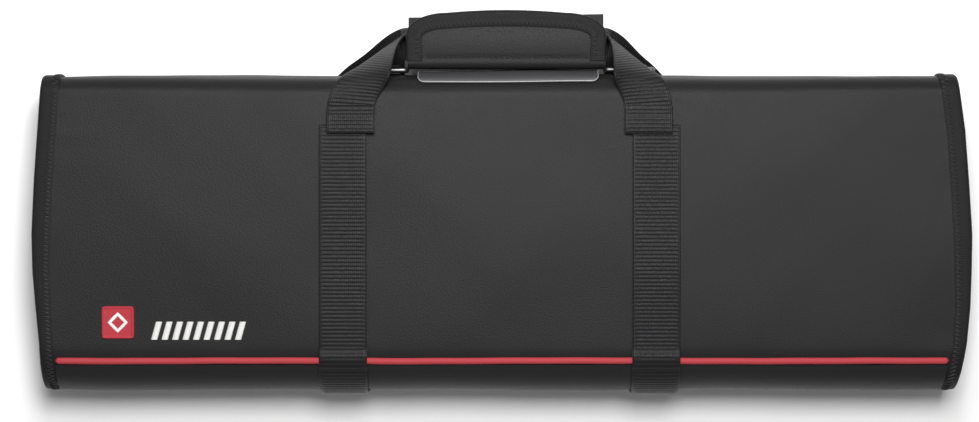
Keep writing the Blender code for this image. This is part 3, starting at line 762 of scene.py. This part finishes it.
def finish(name):
    """The finish that is named."""
    makers = (
        coated_polyester_canvas,
        woven_binding_tape,
        ribbed_polypropylene_webbing,
        bonded_nylon_thread,
        covered_cord,
        welded_vinyl_sheen,
        vinyl_rim_highlight,
        nickel_plated_wire,
        woven_badge,
        embroidery_thread,
    )
    return kept(name, {maker.__name__: maker for maker in makers}[name])


def settle(made, slot, *nodes):
    """The piece rides on the one body, takes its finish from a slot and stands for the nodes it replaces."""
    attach(made, "root")
    if nodes:
        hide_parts(*nodes)
    return made


def make_cover():
    """The padded sheet: a grid along the fold and along the roll, half its thickness to each side."""
    fold = Fold()
    s = fold.stations(0.0, fold.s[-1], 3.2 * MM)[:, None]
    left, right = fold.ends(s)
    x = left + (right - left) * np.linspace(0, 1, 141)
    uv = np.stack([x, s + 0 * x], axis=-1)
    outer, inner = fold.at(s, x, fold.half), fold.at(s, x, -fold.half)
    made = slab("cover_canvas", outer, inner, finish("coated_polyester_canvas"), uv)
    settle(made, "canvas", "cover_panel")


def channel(name, edge, outward, face, wall, width, finish_name, slot, node):
    """A tape folded over an edge: it runs in on one face, round the edge in a half ellipse and back."""
    roll = bpy.context.scene.roll_sizes
    width = np.broadcast_to(width, len(edge))[:, None]
    far = wall / 2 + roll.gap + roll.tape
    near = far - roll.tape
    round_off = 0.6 * far
    turn = np.linspace(math.pi / 2, -math.pi / 2, 11)
    centre = roll.gap + roll.tape - round_off
    flat = np.array([1.0, 0.86, 0.6, 0.3])
    grids = []
    for up, reach, lip in ((far, round_off, 0.45), (near, round_off - roll.tape, 0.0)):
        bend = centre + reach * np.cos(turn) + 0 * width
        out = np.concatenate([-flat * width, bend, -flat[::-1] * width], axis=1)
        face_level = up - lip * roll.tape * (flat > 0.99)
        level = np.concatenate([face_level, up * np.sin(turn), -face_level[::-1]])
        level = np.broadcast_to(level, out.shape)
        grids.append(edge[:, None] + outward[:, None] * out[..., None] + face[:, None] * level[..., None])
    arc = lengths_along(edge)
    girth = lengths_along(grids[0][0])
    uv = np.stack(np.broadcast_arrays(girth[None, :], arc[:, None]), axis=-1)
    return settle(slab(name, grids[0], grids[1], finish(finish_name), uv), slot, node)


def make_bindings():
    """The tapes folded over the sheet's two ends, all along the fold, with zigzag stitches on them."""
    fold = Fold()
    roll = fold.roll
    thread = finish("bonded_nylon_thread")
    s = fold.stations(0.0, fold.s[-1], 2.6 * MM)
    pitch, shallow, deep = END_ZIGZAG
    at = np.arange(pitch, fold.s[-1] - pitch, pitch / 2)
    for side_name, ends, side in (("left", fold.left, -1.0), ("right", fold.right, 1.0)):
        x = fold.read(ends, s)
        edge = fold.at(s, x)
        face = fold.out(s, x)
        outward = np.tile([side, 0.0, 0.0], (len(s), 1))
        width = fold.read(fold.binding, s) + 0.15 * MM * np.sin(s * 700) + 0.1 * MM * np.sin(s * 230)
        name = f"end_tape_{side_name}"
        node = f"binding_{side_name}"
        channel(name, edge, outward, face, roll.panel, width, "woven_binding_tape", "tape", node)
        wide = fold.read(fold.binding, at)
        turn = np.arange(len(at)) % 2
        inward = np.where(turn == 0, wide - shallow, wide - deep)
        place = fold.read(ends, at) - side * inward
        points = fold.at(at, place, roll.panel / 2 + roll.gap + roll.tape)
        up = fold.out(at, place)[:-1]
        made = stitches(f"end_stitches_{side_name}", points[:-1], points[1:], up, THREAD, thread)
        settle(made, "tape")


def make_hem():
    """The band folded over the flap's free edge, and the covered cord sewn in along its upper side."""
    fold = Fold()
    roll = fold.roll
    band_top = fold.piping - roll.piping_width / 2 - roll.gap
    near, far = fold.half + roll.gap, fold.half + roll.gap + roll.band
    outside = fold.stations(0.0, band_top)[::-1]
    inside = fold.stations(0.0, roll.band_turn)
    share_along = np.linspace(0, 1, 121)

    def row(s, depth):
        left, right = fold.ends(s[:, None], 1.0)
        clear = 3 * roll.gap
        x = left + clear + (right - left - 2 * clear) * share_along
        return fold.at(s[:, None], x, depth), x

    grids = []
    for depth in (far, near):
        outer, x_outer = row(outside, depth)
        turned, x_turned = row(inside, -depth)
        below = np.array([0, 0, depth - fold.half])
        if depth == near:
            below = np.array([0, 0, roll.gap])
        grids.append(np.concatenate([outer, (outer[-1] - below)[None], (turned[0] - below)[None], turned]))
    x = np.concatenate([x_outer, x_outer[-1:], x_turned[:1], x_turned])
    girth = lengths_along(grids[0][:, 60])
    uv = np.stack([x, girth[:, None] + 0 * x], axis=-1)
    settle(slab("hem_tape", grids[0], grids[1], finish("coated_polyester_canvas"), uv), "tape", "hem_band")

    left, right = (float(v) for v in fold.ends(fold.piping, 1.0))
    x = np.linspace(left + 3 * roll.gap, right - 3 * roll.gap, 400)
    arc = np.linspace(0, math.pi, 15)
    taper = np.clip(np.minimum(x - x[0], x[-1] - x) / (1.6 * MM), 0, 1)
    taper = 0.25 + 0.75 * np.sqrt(1 - (1 - taper) ** 2)
    wobble = 0.12 * MM * np.sin(x * 41) + 0.06 * MM * np.sin(x * 163 + 1)
    across = fold.piping + wobble[:, None] + roll.piping_width / 2 * np.cos(arc) * taper[:, None]
    rise = fold.half + roll.gap + roll.piping_height * np.sin(arc) * taper[:, None]
    rings = fold.at(across, x[:, None] + 0 * across, rise)
    uv = np.stack([x[:, None] + 0 * across, across], axis=-1)
    settle(sweep("red_piping", rings, finish("covered_cord"), uv=uv), "piping", "hem_piping")


def across_of(heading, roll, side):
    """The unit vector across webbing that heads so many degrees from +Y towards the grip, rolled inwards."""
    heading, roll = np.radians(heading), np.radians(roll)
    flat = np.cos(roll)
    return np.stack([-side * flat * np.cos(heading), -flat * np.sin(heading), -np.sin(roll)], axis=-1)


def web(name, centre, across, width, thick, pitch=None, height=None, plain=0.10):
    """Webbing along a path: ribs stand across it at even pitch, and both edges are plain and rounded.

    Half the thickness at q across the width (-1 to 1) and length v is
    thick / 2 * (1 - q^8)^(1/2) - height * (1 - |sin(pi v / pitch)|) * (1 inside the plain edges, 0 at them).
    """
    sizes = bpy.context.scene.webbing_sizes
    pitch = sizes.rib_pitch if pitch is None else pitch
    height = sizes.rib_height if height is None else height
    width = np.broadcast_to(width, len(centre))
    arc = lengths_along(centre)
    v = np.linspace(0, arc[-1], max(8, int(arc[-1] / pitch * 6)))

    def resampled(values):
        return np.stack([np.interp(v, arc, column) for column in values.T], axis=-1)

    centre = resampled(centre)
    across = unit(resampled(across))
    width = np.interp(v, arc, width)
    # The path's direction is read over 4 mm, so that no rib tips over at a bend
    reach = max(1, int(2 * MM / (v[1] - v[0])))
    along = np.roll(centre, -reach, axis=0) - np.roll(centre, reach, axis=0)
    along[:reach] = along[reach]
    along[-reach:] = along[-reach - 1]
    normal = unit(np.cross(across, along))
    q = np.array([-1.0, -0.985, -0.94, -0.88, -0.82, -0.6, -0.3, 0.0, 0.3, 0.6, 0.82, 0.88, 0.94, 0.985, 1.0])
    body = thick / 2 * np.sqrt(1 - np.abs(q) ** 8 * 0.9)
    inner = 1 - step(1 - 2 * plain, 1 - 0.6 * plain, np.abs(q))
    furrow = height * (1 - np.abs(np.sin(math.pi * v / pitch)) ** 0.8)
    # Heat-cut ends are pressed thin
    pressed = 0.45 + 0.55 * step(0.0, 1.4 * MM, np.minimum(v, v[-1] - v))
    half = (body[None, :] - furrow[:, None] * inner[None, :]) * pressed[:, None]
    middle = centre[:, None] + across[:, None] * (q[None, :, None] * width[:, None, None] / 2)
    up = normal[:, None] * half[..., None]
    uv = np.stack(np.broadcast_arrays(q[None, :] * width[:, None] / 2, v[:, None]), axis=-1)
    return slab(name, middle + up, middle - up, finish("ribbed_polypropylene_webbing"), uv)


def loop_rows(fold, table, side, sewn_x, floor_level, top_level, count):
    """A loop's centre, across and width from its table, for the left (-1) or right (1) side."""
    grip = bpy.context.scene.grip_sizes
    across, along, level, heading, roll, width = eased(table, count).T
    z = floor_level + (top_level - floor_level) * np.maximum(level, 0)
    grip_x = grip.shift + side * grip.along / 2
    way_in = fold.grip_top - grip.corner_y
    x = sewn_x + (grip_x - sewn_x) * across
    y = fold.crease_face + (way_in - fold.crease_face) * along
    width = bpy.context.scene.webbing_sizes.width * width
    return np.stack([x, y, z], axis=-1), across_of(heading, roll, side), width


def make_straps():
    """The webbing sewn down the front, round the hem side, along the back and up into the grip."""
    fold = Fold()
    roll = fold.roll
    webbing = bpy.context.scene.webbing_sizes
    grip = bpy.context.scene.grip_sizes
    top = fold.front_place(fold.hem_face + webbing.top)
    s = fold.stations(0.0, top, 2 * MM)[::-1]
    extra = fold.piping + roll.piping_width * np.linspace(-2.2, 2.2, 23)
    s = np.unique(np.concatenate([s, extra]))[::-1]
    over_cord = roll.piping_height * (1 - step(0.4, 2.0, np.abs(s - fold.piping) / roll.piping_width))
    over_band = (roll.band + roll.gap) * step(0.0, 1.5, (fold.piping - s) / roll.piping_width)
    offset = fold.half + 2 * roll.gap + webbing.thick / 2 + np.maximum(over_cord, over_band)
    side_y = fold.hem_face - fold.hem_build + webbing.thick / 2 - roll.gap
    back_top = grip.lift - grip.thickness / 2 + grip.wall + roll.gap + webbing.thick / 2
    for name, side in SIDES:
        x = side * webbing.spacing / 2
        front = fold.at(s, x, offset)
        front[:, 1] = np.maximum(front[:, 1], side_y)
        loop, loop_across, loop_width = loop_rows(fold, BACK_LOOP, side, x, webbing.thick / 2, back_top, 120)
        corners = [(side_y, front[-1, 2]), (side_y, webbing.thick / 2), (loop[0, 1], webbing.thick / 2)]
        turn = rounded(corners, [webbing.floor_radius])[1:-1]
        under = np.column_stack([np.full(len(turn), x), turn])
        last = np.array([[grip.shift + side * roll.gap, loop[-1, 1], loop[-1, 2]]])
        centre = np.concatenate([front, under, loop, last])
        straight = across_of(0.0, 0.0, side)
        flat = len(front) + len(under)
        across = np.concatenate([np.tile(straight, (flat, 1)), loop_across, loop_across[-1:]])
        width = np.concatenate([np.full(flat, webbing.width), loop_width, loop_width[-1:]])
        settle(web(f"strap_webbing_{name}", centre, across, width, webbing.thick), "webbing", f"strap_{name}")


def make_loop():
    """The front loop: sewn over the straps' upper ends, up over the crease and through the grip on edge."""
    fold = Fold()
    roll = fold.roll
    webbing = bpy.context.scene.webbing_sizes
    grip = bpy.context.scene.grip_sizes
    y = fold.hem_face + webbing.top + webbing.lap * np.linspace(-1, 2, 16)
    s = np.array([fold.front_place(value) for value in y])
    past_strap = (y - fold.hem_face - webbing.top) / webbing.lap
    lap = (webbing.thick + roll.gap) * (1 - 0.65 * step(0.6, 2.0, past_strap))
    thread = finish("bonded_nylon_thread")
    halves = []
    for name, side in SIDES:
        x = side * webbing.loop_spacing / 2
        offset = fold.half + 2 * roll.gap + webbing.thick / 2 + lap
        sewn = fold.at(s, x, offset)
        level = fold.front_level + roll.gap + webbing.thick / 2
        loop, loop_across, loop_width = loop_rows(fold, FRONT_LOOP, side, x, grip.lift, level, 140)
        sewn_across = np.tile(across_of(0.0, 0.0, side), (len(sewn), 1))
        halves.append(
            (
                np.concatenate([sewn, loop]),
                np.concatenate([sewn_across, loop_across]),
                np.concatenate([np.full(len(sewn), webbing.width), loop_width]),
            )
        )
        # One row of lockstitches holds the loop to the strap
        row_s = fold.front_place(fold.hem_face + webbing.top - webbing.lap + 2.6 * MM)
        at = x + np.arange(-5.25, 5.5, 1.0) * LOOP_STITCH_PITCH
        rise = fold.half + 3 * roll.gap + 2 * webbing.thick - 0.1 * MM
        start, end = (fold.at(row_s, at + side_x, rise) for side_x in (-LOOP_STITCH_HALF, LOOP_STITCH_HALF))
        made = stitches(f"loop_stitches_{name}", start, end, fold.out(row_s, at), 0.32 * MM, thread)
        settle(made, "webbing")
    (left, left_across, left_width), (right, right_across, right_width) = halves
    made = web(
        "handle_webbing",
        np.concatenate([left, right[::-1]]),
        np.concatenate([left_across, right_across[::-1]]),
        np.concatenate([left_width, right_width[::-1]]),
        webbing.thick,
    )
    settle(made, "webbing", "handle_loop")


def grip_half_length(from_top):
    """Half the front flap's length at a distance below its top, with elliptical corners."""
    grip = bpy.context.scene.grip_sizes
    near = np.clip(1 - from_top / grip.corner_y, 0, 1)
    return grip.along / 2 - grip.corner_x * (1 - np.sqrt(1 - near**2))


def make_grip():
    """The padded wrap: a square-cornered back layer, folded at the bottom into a round-cornered front.

    Its front swells by a bell between the binding and the fold, and dips along the seam.
    """
    fold = Fold()
    grip = bpy.context.scene.grip_sizes
    middle = grip.thickness / 2 - grip.wall / 2
    bottom = fold.grip_top - grip.height + grip.wall / 2
    corners = (
        (fold.grip_top - grip.back_short, grip.lift - middle),
        (bottom, grip.lift - middle),
        (bottom, grip.lift + middle),
        (fold.grip_top - grip.corner_y, grip.lift + middle),
    )
    line = rounded(corners, [grip.fold_radius, 0.3 * grip.fold_radius], 1.2 * MM, 10)
    last = fold.grip_top - grip.corner_y * (1 - np.sin(np.linspace(0, math.pi / 2, 17)[1:]))
    line = np.concatenate([line, np.column_stack([last, np.full(len(last), grip.lift + middle)])])
    along = unit(np.gradient(line, axis=0))
    normal = np.column_stack([along[:, 1], -along[:, 0]])
    on_front = np.arange(len(line)) >= len(line) - len(last)
    half = np.where(on_front, grip_half_length(fold.grip_top - line[:, 0]), grip.along / 2)
    part = np.linspace(-1, 1, 81)
    x = grip.shift + half[:, None] * part
    up = line[:, 1] > grip.lift
    rise = np.clip((line[:, 0] - bottom) / grip.height, 0, 1)
    arch = rise[:, None] ** 2 * np.where(up[:, None], -grip.arch * part**2, grip.back_slant * (1 + part) / 2)
    swell = GRIP_SWELL * (up * bell(rise - 0.42, 0.34))[:, None] * (1 - part**6)
    seam = fold.grip_top - SEAM_PLACE
    groove = SEAM_DEPTH * (up * bell(line[:, 0] - seam, SEAM_WIDTH))[:, None] * (np.abs(part) < 0.83)
    s = lengths_along(line)
    uv = np.stack(np.broadcast_arrays(x, s[:, None]), axis=-1)
    grids = []
    for offset in (-grip.wall / 2, grip.wall / 2):
        out = offset - (swell - groove) * (offset < 0)
        y = line[:, :1] + arch + normal[:, :1] * out
        z = line[:, 1:] + normal[:, 1:] * out + 0 * y
        grids.append(np.stack([x, y, z], axis=-1))
    made = slab("grip_canvas", grids[0], grids[1], finish("coated_polyester_canvas"), uv)
    settle(made, "canvas", "grip_wrap")


def make_grip_tape():
    """The wide tape folded over the grip's front edge: up one side, round the corners and along the top."""
    fold = Fold()
    roll = fold.roll
    grip = bpy.context.scene.grip_sizes
    level = grip.lift + grip.thickness / 2 - grip.wall / 2
    bottom = fold.grip_top - grip.height + grip.wall / 2
    corner_y = fold.grip_top - grip.corner_y
    turn = np.linspace(0, math.pi / 2, 24)
    side_y = np.linspace(bottom + 0.5 * grip.fold_radius, corner_y, 12)[:-1]
    side = np.column_stack([np.full(11, grip.along / 2), side_y])
    corner = np.column_stack(
        [grip.along / 2 - grip.corner_x * (1 - np.cos(turn)), corner_y + grip.corner_y * np.sin(turn)]
    )
    flat_x = np.linspace(grip.along / 2 - grip.corner_x, 0, 22)[1:]
    right = np.concatenate([side, corner, np.column_stack([flat_x, np.full(21, fold.grip_top)])])
    half_at = np.maximum(grip_half_length(fold.grip_top - right[:, 1]), 1e-6)
    part = np.clip(right[:, 0] / half_at, 0, 1)
    right[:, 1] -= grip.arch * part**2 * np.clip((right[:, 1] - bottom) / grip.height, 0, 1) ** 2
    left = right[-2::-1] * [-1, 1]
    outline = np.concatenate([right, left])
    edge = np.column_stack([outline[:, 0] + grip.shift, outline[:, 1], np.full(len(outline), level)])
    face = np.tile([0.0, 0.0, 1.0], (len(edge), 1))
    outward = np.cross(unit(np.gradient(edge, axis=0)), face)
    width = grip.tape_width
    channel("grip_tape", edge, outward, face, grip.wall, width, "woven_binding_tape", "tape", "grip_binding")

    thread = finish("bonded_nylon_thread")
    arc = lengths_along(edge)
    pitch, shallow, deep = GRIP_ZIGZAG
    at = np.arange(pitch, arc[-1] - pitch, pitch / 2)
    points = np.stack([np.interp(at, arc, edge[:, k]) for k in range(3)], axis=-1)
    inward = -np.stack([np.interp(at, arc, outward[:, k]) for k in range(3)], axis=-1)
    reach = np.where(np.arange(len(at)) % 2 == 0, width - shallow, width - deep)
    lift = grip.wall / 2 + roll.gap + roll.tape
    points = points + inward * reach[:, None] + np.array([0, 0, lift])
    up = np.tile([0.0, 0.0, 1.0], (len(points) - 1, 1))
    made = stitches("grip_tape_stitches", points[:-1], points[1:], up, THREAD, thread)
    settle(made, "tape")

    row = np.arange(-0.40, 0.40, 3.0 * MM / grip.along) * grip.along + grip.shift
    seam_y, seam_z = fold.grip_top - SEAM_PLACE, level + 1.85 * MM
    seam = np.column_stack([row, np.full(len(row), seam_y), np.full(len(row), seam_z)])
    up = np.tile([0.0, 0.0, 1.0], (len(seam), 1))
    made = stitches("grip_seam", seam, seam + [2.3 * MM, 0, 0], up, THREAD, thread)
    settle(made, "canvas")


def make_window():
    """The clear sleeve on the spine: a thin plate with round corners and a pale welded rim round it."""
    fold = Fold()
    roll = fold.roll
    sizes = bpy.context.scene.fitting_sizes
    low, high = fold.spine_place(sizes.window_high), fold.spine_place(sizes.window_low)
    middle, half_s = (low + high) / 2, (high - low) / 2
    half_x = sizes.window_length / 2
    corner = SLEEVE_CORNER
    part = np.linspace(-1, 1, 61)
    s = middle + half_s * part
    near = np.clip((np.abs(s - middle) - (half_s - corner)) / corner, 0, 1)
    reach = half_x - corner * (1 - np.sqrt(1 - near**2))
    x = sizes.window_shift + reach[:, None] * np.linspace(-1, 1, 41)
    base = fold.half + roll.gap

    def flare(share_down):
        return base + SLEEVE_FLARE * step(-1, 1, share_down)

    lift = flare(part)[:, None]
    outer, inner = fold.at(s[:, None], x, lift + SLEEVE_FILM), fold.at(s[:, None], x, base)
    # The plate's grey is painted sheen of the clear film
    settle(slab("clear_sleeve", outer, inner, finish("welded_vinyl_sheen")), "vinyl", "id_window")
    turn = np.linspace(0, math.pi / 2, 9)
    inset_x, inset_s = half_x - corner, half_s - corner
    quarter = np.column_stack([inset_x + corner * np.cos(turn), inset_s + corner * np.sin(turn)])
    line = np.concatenate([quarter, quarter[::-1] * [-1, 1], -quarter, quarter[::-1] * [1, -1]])
    line = np.concatenate([line, line[:1]])
    arc = lengths_along(line)
    at = np.linspace(0, arc[-1], 240, endpoint=False)
    rim_x, rim_s = (np.interp(at, arc, line[:, k]) for k in range(2))
    spoke = np.linspace(0, 2 * math.pi, 8, endpoint=False)
    centre = fold.at(middle + rim_s, sizes.window_shift + rim_x, flare(rim_s / half_s) + 0.75 * MM)
    up = fold.out(middle + rim_s, sizes.window_shift + rim_x)
    along = unit(np.roll(centre, -1, axis=0) - np.roll(centre, 1, axis=0))
    side = unit(np.cross(along, up))
    rings = centre[:, None] + RIM_RADIUS * (
        np.cos(spoke)[None, :, None] * side[:, None] + np.sin(spoke)[None, :, None] * up[:, None]
    )
    # The rim is painted pale: a painted highlight along the welded edge
    settle(sweep("sleeve_rim", rings, finish("vinyl_rim_highlight"), closed=True), "vinyl")


def make_rings():
    """D-rings that hang flat against the spine, each in a webbing tab folded round its straight bar.

    They are drawn 2.4 mm narrower than their solids, so that their outer ends stay under the loop.
    """
    fold = Fold()
    roll = fold.roll
    sizes = bpy.context.scene.fitting_sizes
    grip = bpy.context.scene.grip_sizes
    wire = sizes.ring_wire / 2
    half = sizes.ring_inner / 2 + wire
    turn = np.linspace(0, math.pi, 33)
    bow = np.column_stack([half * np.cos(turn), -sizes.ring_deep * np.sin(turn) - 2 * sizes.ring_wire])
    corner = np.linspace(0, math.pi / 2, 7)[1:-1]
    radius = RING_CORNER
    back = corner[::-1]
    round_left = np.column_stack([-half + radius * (1 - np.sin(back)), -radius * (1 - np.cos(back))])
    bar = np.column_stack([np.linspace(-half + radius, half - radius, 9), np.zeros(9)])
    line = np.concatenate([round_left, bar, round_left[::-1] * [-1, 1], bow])
    spoke = np.linspace(0, 2 * math.pi, 14, endpoint=False)
    for name, side in SIDES:
        x = grip.shift + side * sizes.ring_offset
        place = fold.spine_place(sizes.ring_lift)
        y = float(fold.at(place, x, fold.half)[1]) + 2 * roll.gap + roll.tape + wire
        centre = np.column_stack([x + line[:, 0], np.full(len(line), y), sizes.ring_lift + line[:, 1]])
        along = unit(np.roll(centre, -1, axis=0) - np.roll(centre, 1, axis=0))
        flat = np.array([0.0, 1.0, 0.0])
        out = np.cross(along, flat)
        rings = centre[:, None] + wire * (
            np.cos(spoke)[None, :, None] * flat + np.sin(spoke)[None, :, None] * out[:, None]
        )
        made = sweep(f"wire_ring_{name}", rings, finish("nickel_plated_wire"), closed=True)
        settle(made, "steel", f"ring_{name}")
        reach = wire + roll.gap + roll.tape / 2
        around = np.linspace(0, math.pi, 13)
        hook = np.column_stack([reach * np.cos(around), -reach * np.sin(around)])
        hook = np.concatenate([[(reach, sizes.tab_rise)], hook, [(-reach, sizes.tab_rise)]])
        middle = np.column_stack([np.full(len(hook), x), y + hook[:, 0], sizes.ring_lift + hook[:, 1]])
        across = np.tile([1.0, 0.0, 0.0], (len(hook), 1))
        made = web(f"ring_web_{name}", middle, across, sizes.tab_width, roll.tape, 1.4 * MM, 0.12 * MM)
        settle(made, "webbing", f"ring_tab_{name}")


def make_badge():
    """The woven badge with a raised border and a plain lozenge, and a row of slanted embroidered bars."""
    fold = Fold()
    roll = fold.roll
    sizes = bpy.context.scene.fitting_sizes
    part = np.linspace(-1, 1, 45)
    half = sizes.badge_side / 2
    middle_s = fold.front_place(fold.hem_face + sizes.badge_from_hem)
    middle_x = -roll.along / 2 + sizes.badge_from_end
    s, x = (middle_s + half * part)[:, None], (middle_x + half * part)[None, :]
    edge = np.maximum(np.abs(part)[:, None], np.abs(part)[None, :])
    height = roll.gap + 0.55 * MM + 0.45 * MM * bell(edge - 0.92, 0.06) - 0.35 * MM * step(0.95, 1.0, edge)
    # The corners are rounded by drawing each point on the square in towards the middle a little
    corner = np.abs(part)[:, None] ** 10 * np.abs(part)[None, :] ** 10
    s = s - half * 0.06 * corner * np.sign(part)[:, None]
    x = x - half * 0.06 * corner * np.sign(part)[None, :]
    uv = np.stack([x, s], axis=-1)
    outer, inner = fold.at(s, x, fold.half + height), fold.at(s, x, fold.half + 0.1 * MM)
    settle(slab("woven_patch", outer, inner, finish("woven_badge"), uv), "badge", "badge_patch")

    thread = finish("embroidery_thread")
    lozenge = np.array([(0.0, 0.52), (0.52, 0.0), (0.0, -0.52), (-0.52, 0.0)]) * half
    points = []
    for start, end in zip(lozenge, np.roll(lozenge, -1, axis=0)):
        share_at = np.linspace(0, 1, 13, endpoint=False)[:, None]
        points.append(start + (end - start) * share_at)
    middle = np.concatenate(points)
    out = unit(middle) * 0.9 * MM
    lift = fold.half + roll.gap + 0.6 * MM
    start = fold.at(middle_s + middle[:, 1] - out[:, 1], middle_x + middle[:, 0] - out[:, 0], lift)
    end = fold.at(middle_s + middle[:, 1] + out[:, 1], middle_x + middle[:, 0] + out[:, 0], lift)
    up = fold.out(middle_s + middle[:, 1], middle_x + middle[:, 0])
    settle(stitches("lozenge_stitches", start, end, up, 0.42 * MM, thread), "badge")

    middle_s = fold.front_place(fold.hem_face + sizes.bars_from_hem)
    first = -roll.along / 2 + sizes.bars_from_end - sizes.bars_length / 2
    bars, rows, gap, slope = 9, 18, 0.42, 0.28
    pitch = sizes.bars_length / bars
    start, end, up = [], [], []
    for bar in range(bars):
        level = np.linspace(-0.5, 0.5, rows) * sizes.bars_height
        x = first + pitch * (bar + 0.3) + level * slope
        wide = pitch * (1 - gap)
        start.append(fold.at(middle_s + level, x, fold.half + 0.25 * MM))
        end.append(fold.at(middle_s + level, x + wide, fold.half + 0.25 * MM))
        up.append(fold.out(middle_s + level, x))
    start, end, up = (np.concatenate(v) for v in (start, end, up))
    settle(stitches("embroidered_bars", start, end, up, 0.32 * MM, thread), "badge")


def make_stage():
    """A pale floor, a key and three weaker lights, even light all round, and the camera straight above."""
    studio = bpy.context.scene.studio_settings
    half = 6.0
    mesh = bpy.data.meshes.new("floor")
    level = CAD_BOX[0][2]
    corners = [(x, y, level) for x, y in ((-half, -half), (half, -half), (half, half), (-half, half))]
    mesh.from_pydata(corners, [], [(0, 1, 2, 3)])
    floor = bpy.data.objects.new("floor", mesh)
    bpy.context.scene.collection.objects.link(floor)
    made, _, _ = new_finish("matt_studio_floor", bpy.context.scene.finish_colours.floor, 0.9)
    mesh.materials.append(made)

    world = bpy.data.worlds.new("studio")
    world.use_nodes = True
    background = world.node_tree.nodes["Background"]
    background.inputs["Color"].default_value = (1.0, 1.0, 1.0, 1.0)
    background.inputs["Strength"].default_value = studio.fill
    bpy.context.scene.world = world

    def area(name, place, target, size, power, tone=(1.0, 1.0, 1.0)):
        lamp = bpy.data.lights.new(name, "AREA")
        lamp.shape = "RECTANGLE"
        lamp.size, lamp.size_y = size
        lamp.energy = power
        lamp.color = tone
        lit = bpy.data.objects.new(name, lamp)
        lit.location = place
        lit.rotation_euler = (Vector(target) - Vector(place)).to_track_quat("-Z", "Y").to_euler()
        bpy.context.scene.collection.objects.link(lit)

    area("key", (0.12, 0.50, 2.0), (0.0, 0.0, 0.0), (0.6, 0.6), studio.key_power)
    rosy = (1.0, 0.97, 0.97)
    area("strip", (0.0, 0.36, 0.80), (0.0, 0.03, 0.05), (0.35, 0.12), studio.strip_power, rosy)
    area("back_light", (0.0, 0.75, 0.90), (0.0, 0.06, 0.04), (0.9, 0.2), studio.back_power)
    area("front_fill", (0.0, -0.60, 0.45), (0.0, -0.05, 0.03), (0.9, 0.3), studio.front_power)

    camera_data = bpy.data.cameras.new("camera")
    camera_data.sensor_width = 36.0
    camera_data.lens = 36.0 * studio.distance / studio.view_width
    camera_data.clip_end = 50.0
    camera = bpy.data.objects.new("camera", camera_data)
    aim = Vector(studio.aim)
    camera.location = aim + Vector((0.0, 0.0, studio.distance))
    bpy.context.scene.collection.objects.link(camera)
    bpy.context.scene.camera = camera
    bpy.context.scene.view_settings.view_transform = "Standard"
    bpy.context.scene.view_settings.look = "None"
    bpy.context.scene.view_settings.exposure = 0.0


def operator(class_name, label, words, task):
    """An operator class for one piece or group: it runs the task, and an error in it stops the script."""

    def execute(self, context):
        task()
        return {"FINISHED"}

    values = {
        "__doc__": words,
        "bl_idname": f"knife_roll.{class_name.split('_OT_')[1]}",
        "bl_label": label,
        "bl_options": {"REGISTER", "UNDO"},
        "execute": execute,
    }
    return type(class_name, (bpy.types.Operator,), values)


OPERATORS = tuple(
    operator(f"KNIFE_ROLL_OT_{name}", f"Make {label}", words, task)
    for name, label, words, task in (
        ("stage", "Stage", "Make the floor, the lights and the camera", make_stage),
        ("cover", "Cover", "Make the folded canvas sheet", make_cover),
        ("bindings", "End Tapes", "Make the tapes on both ends and their stitches", make_bindings),
        ("hem", "Hem", "Make the hem band and the red piping", make_hem),
        ("straps", "Straps", "Make the two straps", make_straps),
        ("loop", "Loop", "Make the front loop and its stitch rows", make_loop),
        ("grip", "Grip", "Make the padded grip", make_grip),
        ("grip_tape", "Grip Tape", "Make the grip's tape and stitches", make_grip_tape),
        ("window", "Sleeve", "Make the clear sleeve on the spine", make_window),
        ("rings", "Rings", "Make the D-rings and their tabs", make_rings),
        ("badge", "Badge", "Make the badge and the embroidered bars", make_badge),
    )
)


class KNIFE_ROLL_PT_pieces(bpy.types.Panel):
    """Lists the pieces of the knife roll in the 3D view's sidebar."""

    bl_idname = "KNIFE_ROLL_PT_pieces"
    bl_label = "Knife Roll"
    bl_space_type = "VIEW_3D"
    bl_region_type = "UI"
    bl_category = "Knife Roll"

    def draw(self, context):
        for made in OPERATORS:
            self.layout.operator(made.bl_idname)
        for name in GROUPS:
            box = self.layout.box()
            group = getattr(context.scene, name)
            for key in group.bl_rna.properties.keys():
                if key not in ("rna_type", "name"):
                    box.prop(group, key)


GROUPS = {
    "roll_sizes": RollSizes,
    "webbing_sizes": WebbingSizes,
    "grip_sizes": GripSizes,
    "fitting_sizes": FittingSizes,
    "finish_colours": FinishColours,
    "studio_settings": StudioSettings,
}
CLASSES = (*GROUPS.values(), *OPERATORS, KNIFE_ROLL_PT_pieces)


def register():
    """Adds the classes and hangs the settings on the scene."""
    for item in CLASSES:
        bpy.utils.register_class(item)
    for name, group in GROUPS.items():
        setattr(bpy.types.Scene, name, PointerProperty(type=group))


def unregister():
    """Takes the settings and the classes away again."""
    for name in GROUPS:
        delattr(bpy.types.Scene, name)
    for item in reversed(CLASSES):
        bpy.utils.unregister_class(item)


def main():
    """Makes the stage and every piece in order, then writes the two boxes."""
    register()
    for made in OPERATORS:
        name = made.bl_idname.split(".")[1]
        getattr(bpy.ops.knife_roll, name)()


if __name__ == "__main__":
    main()
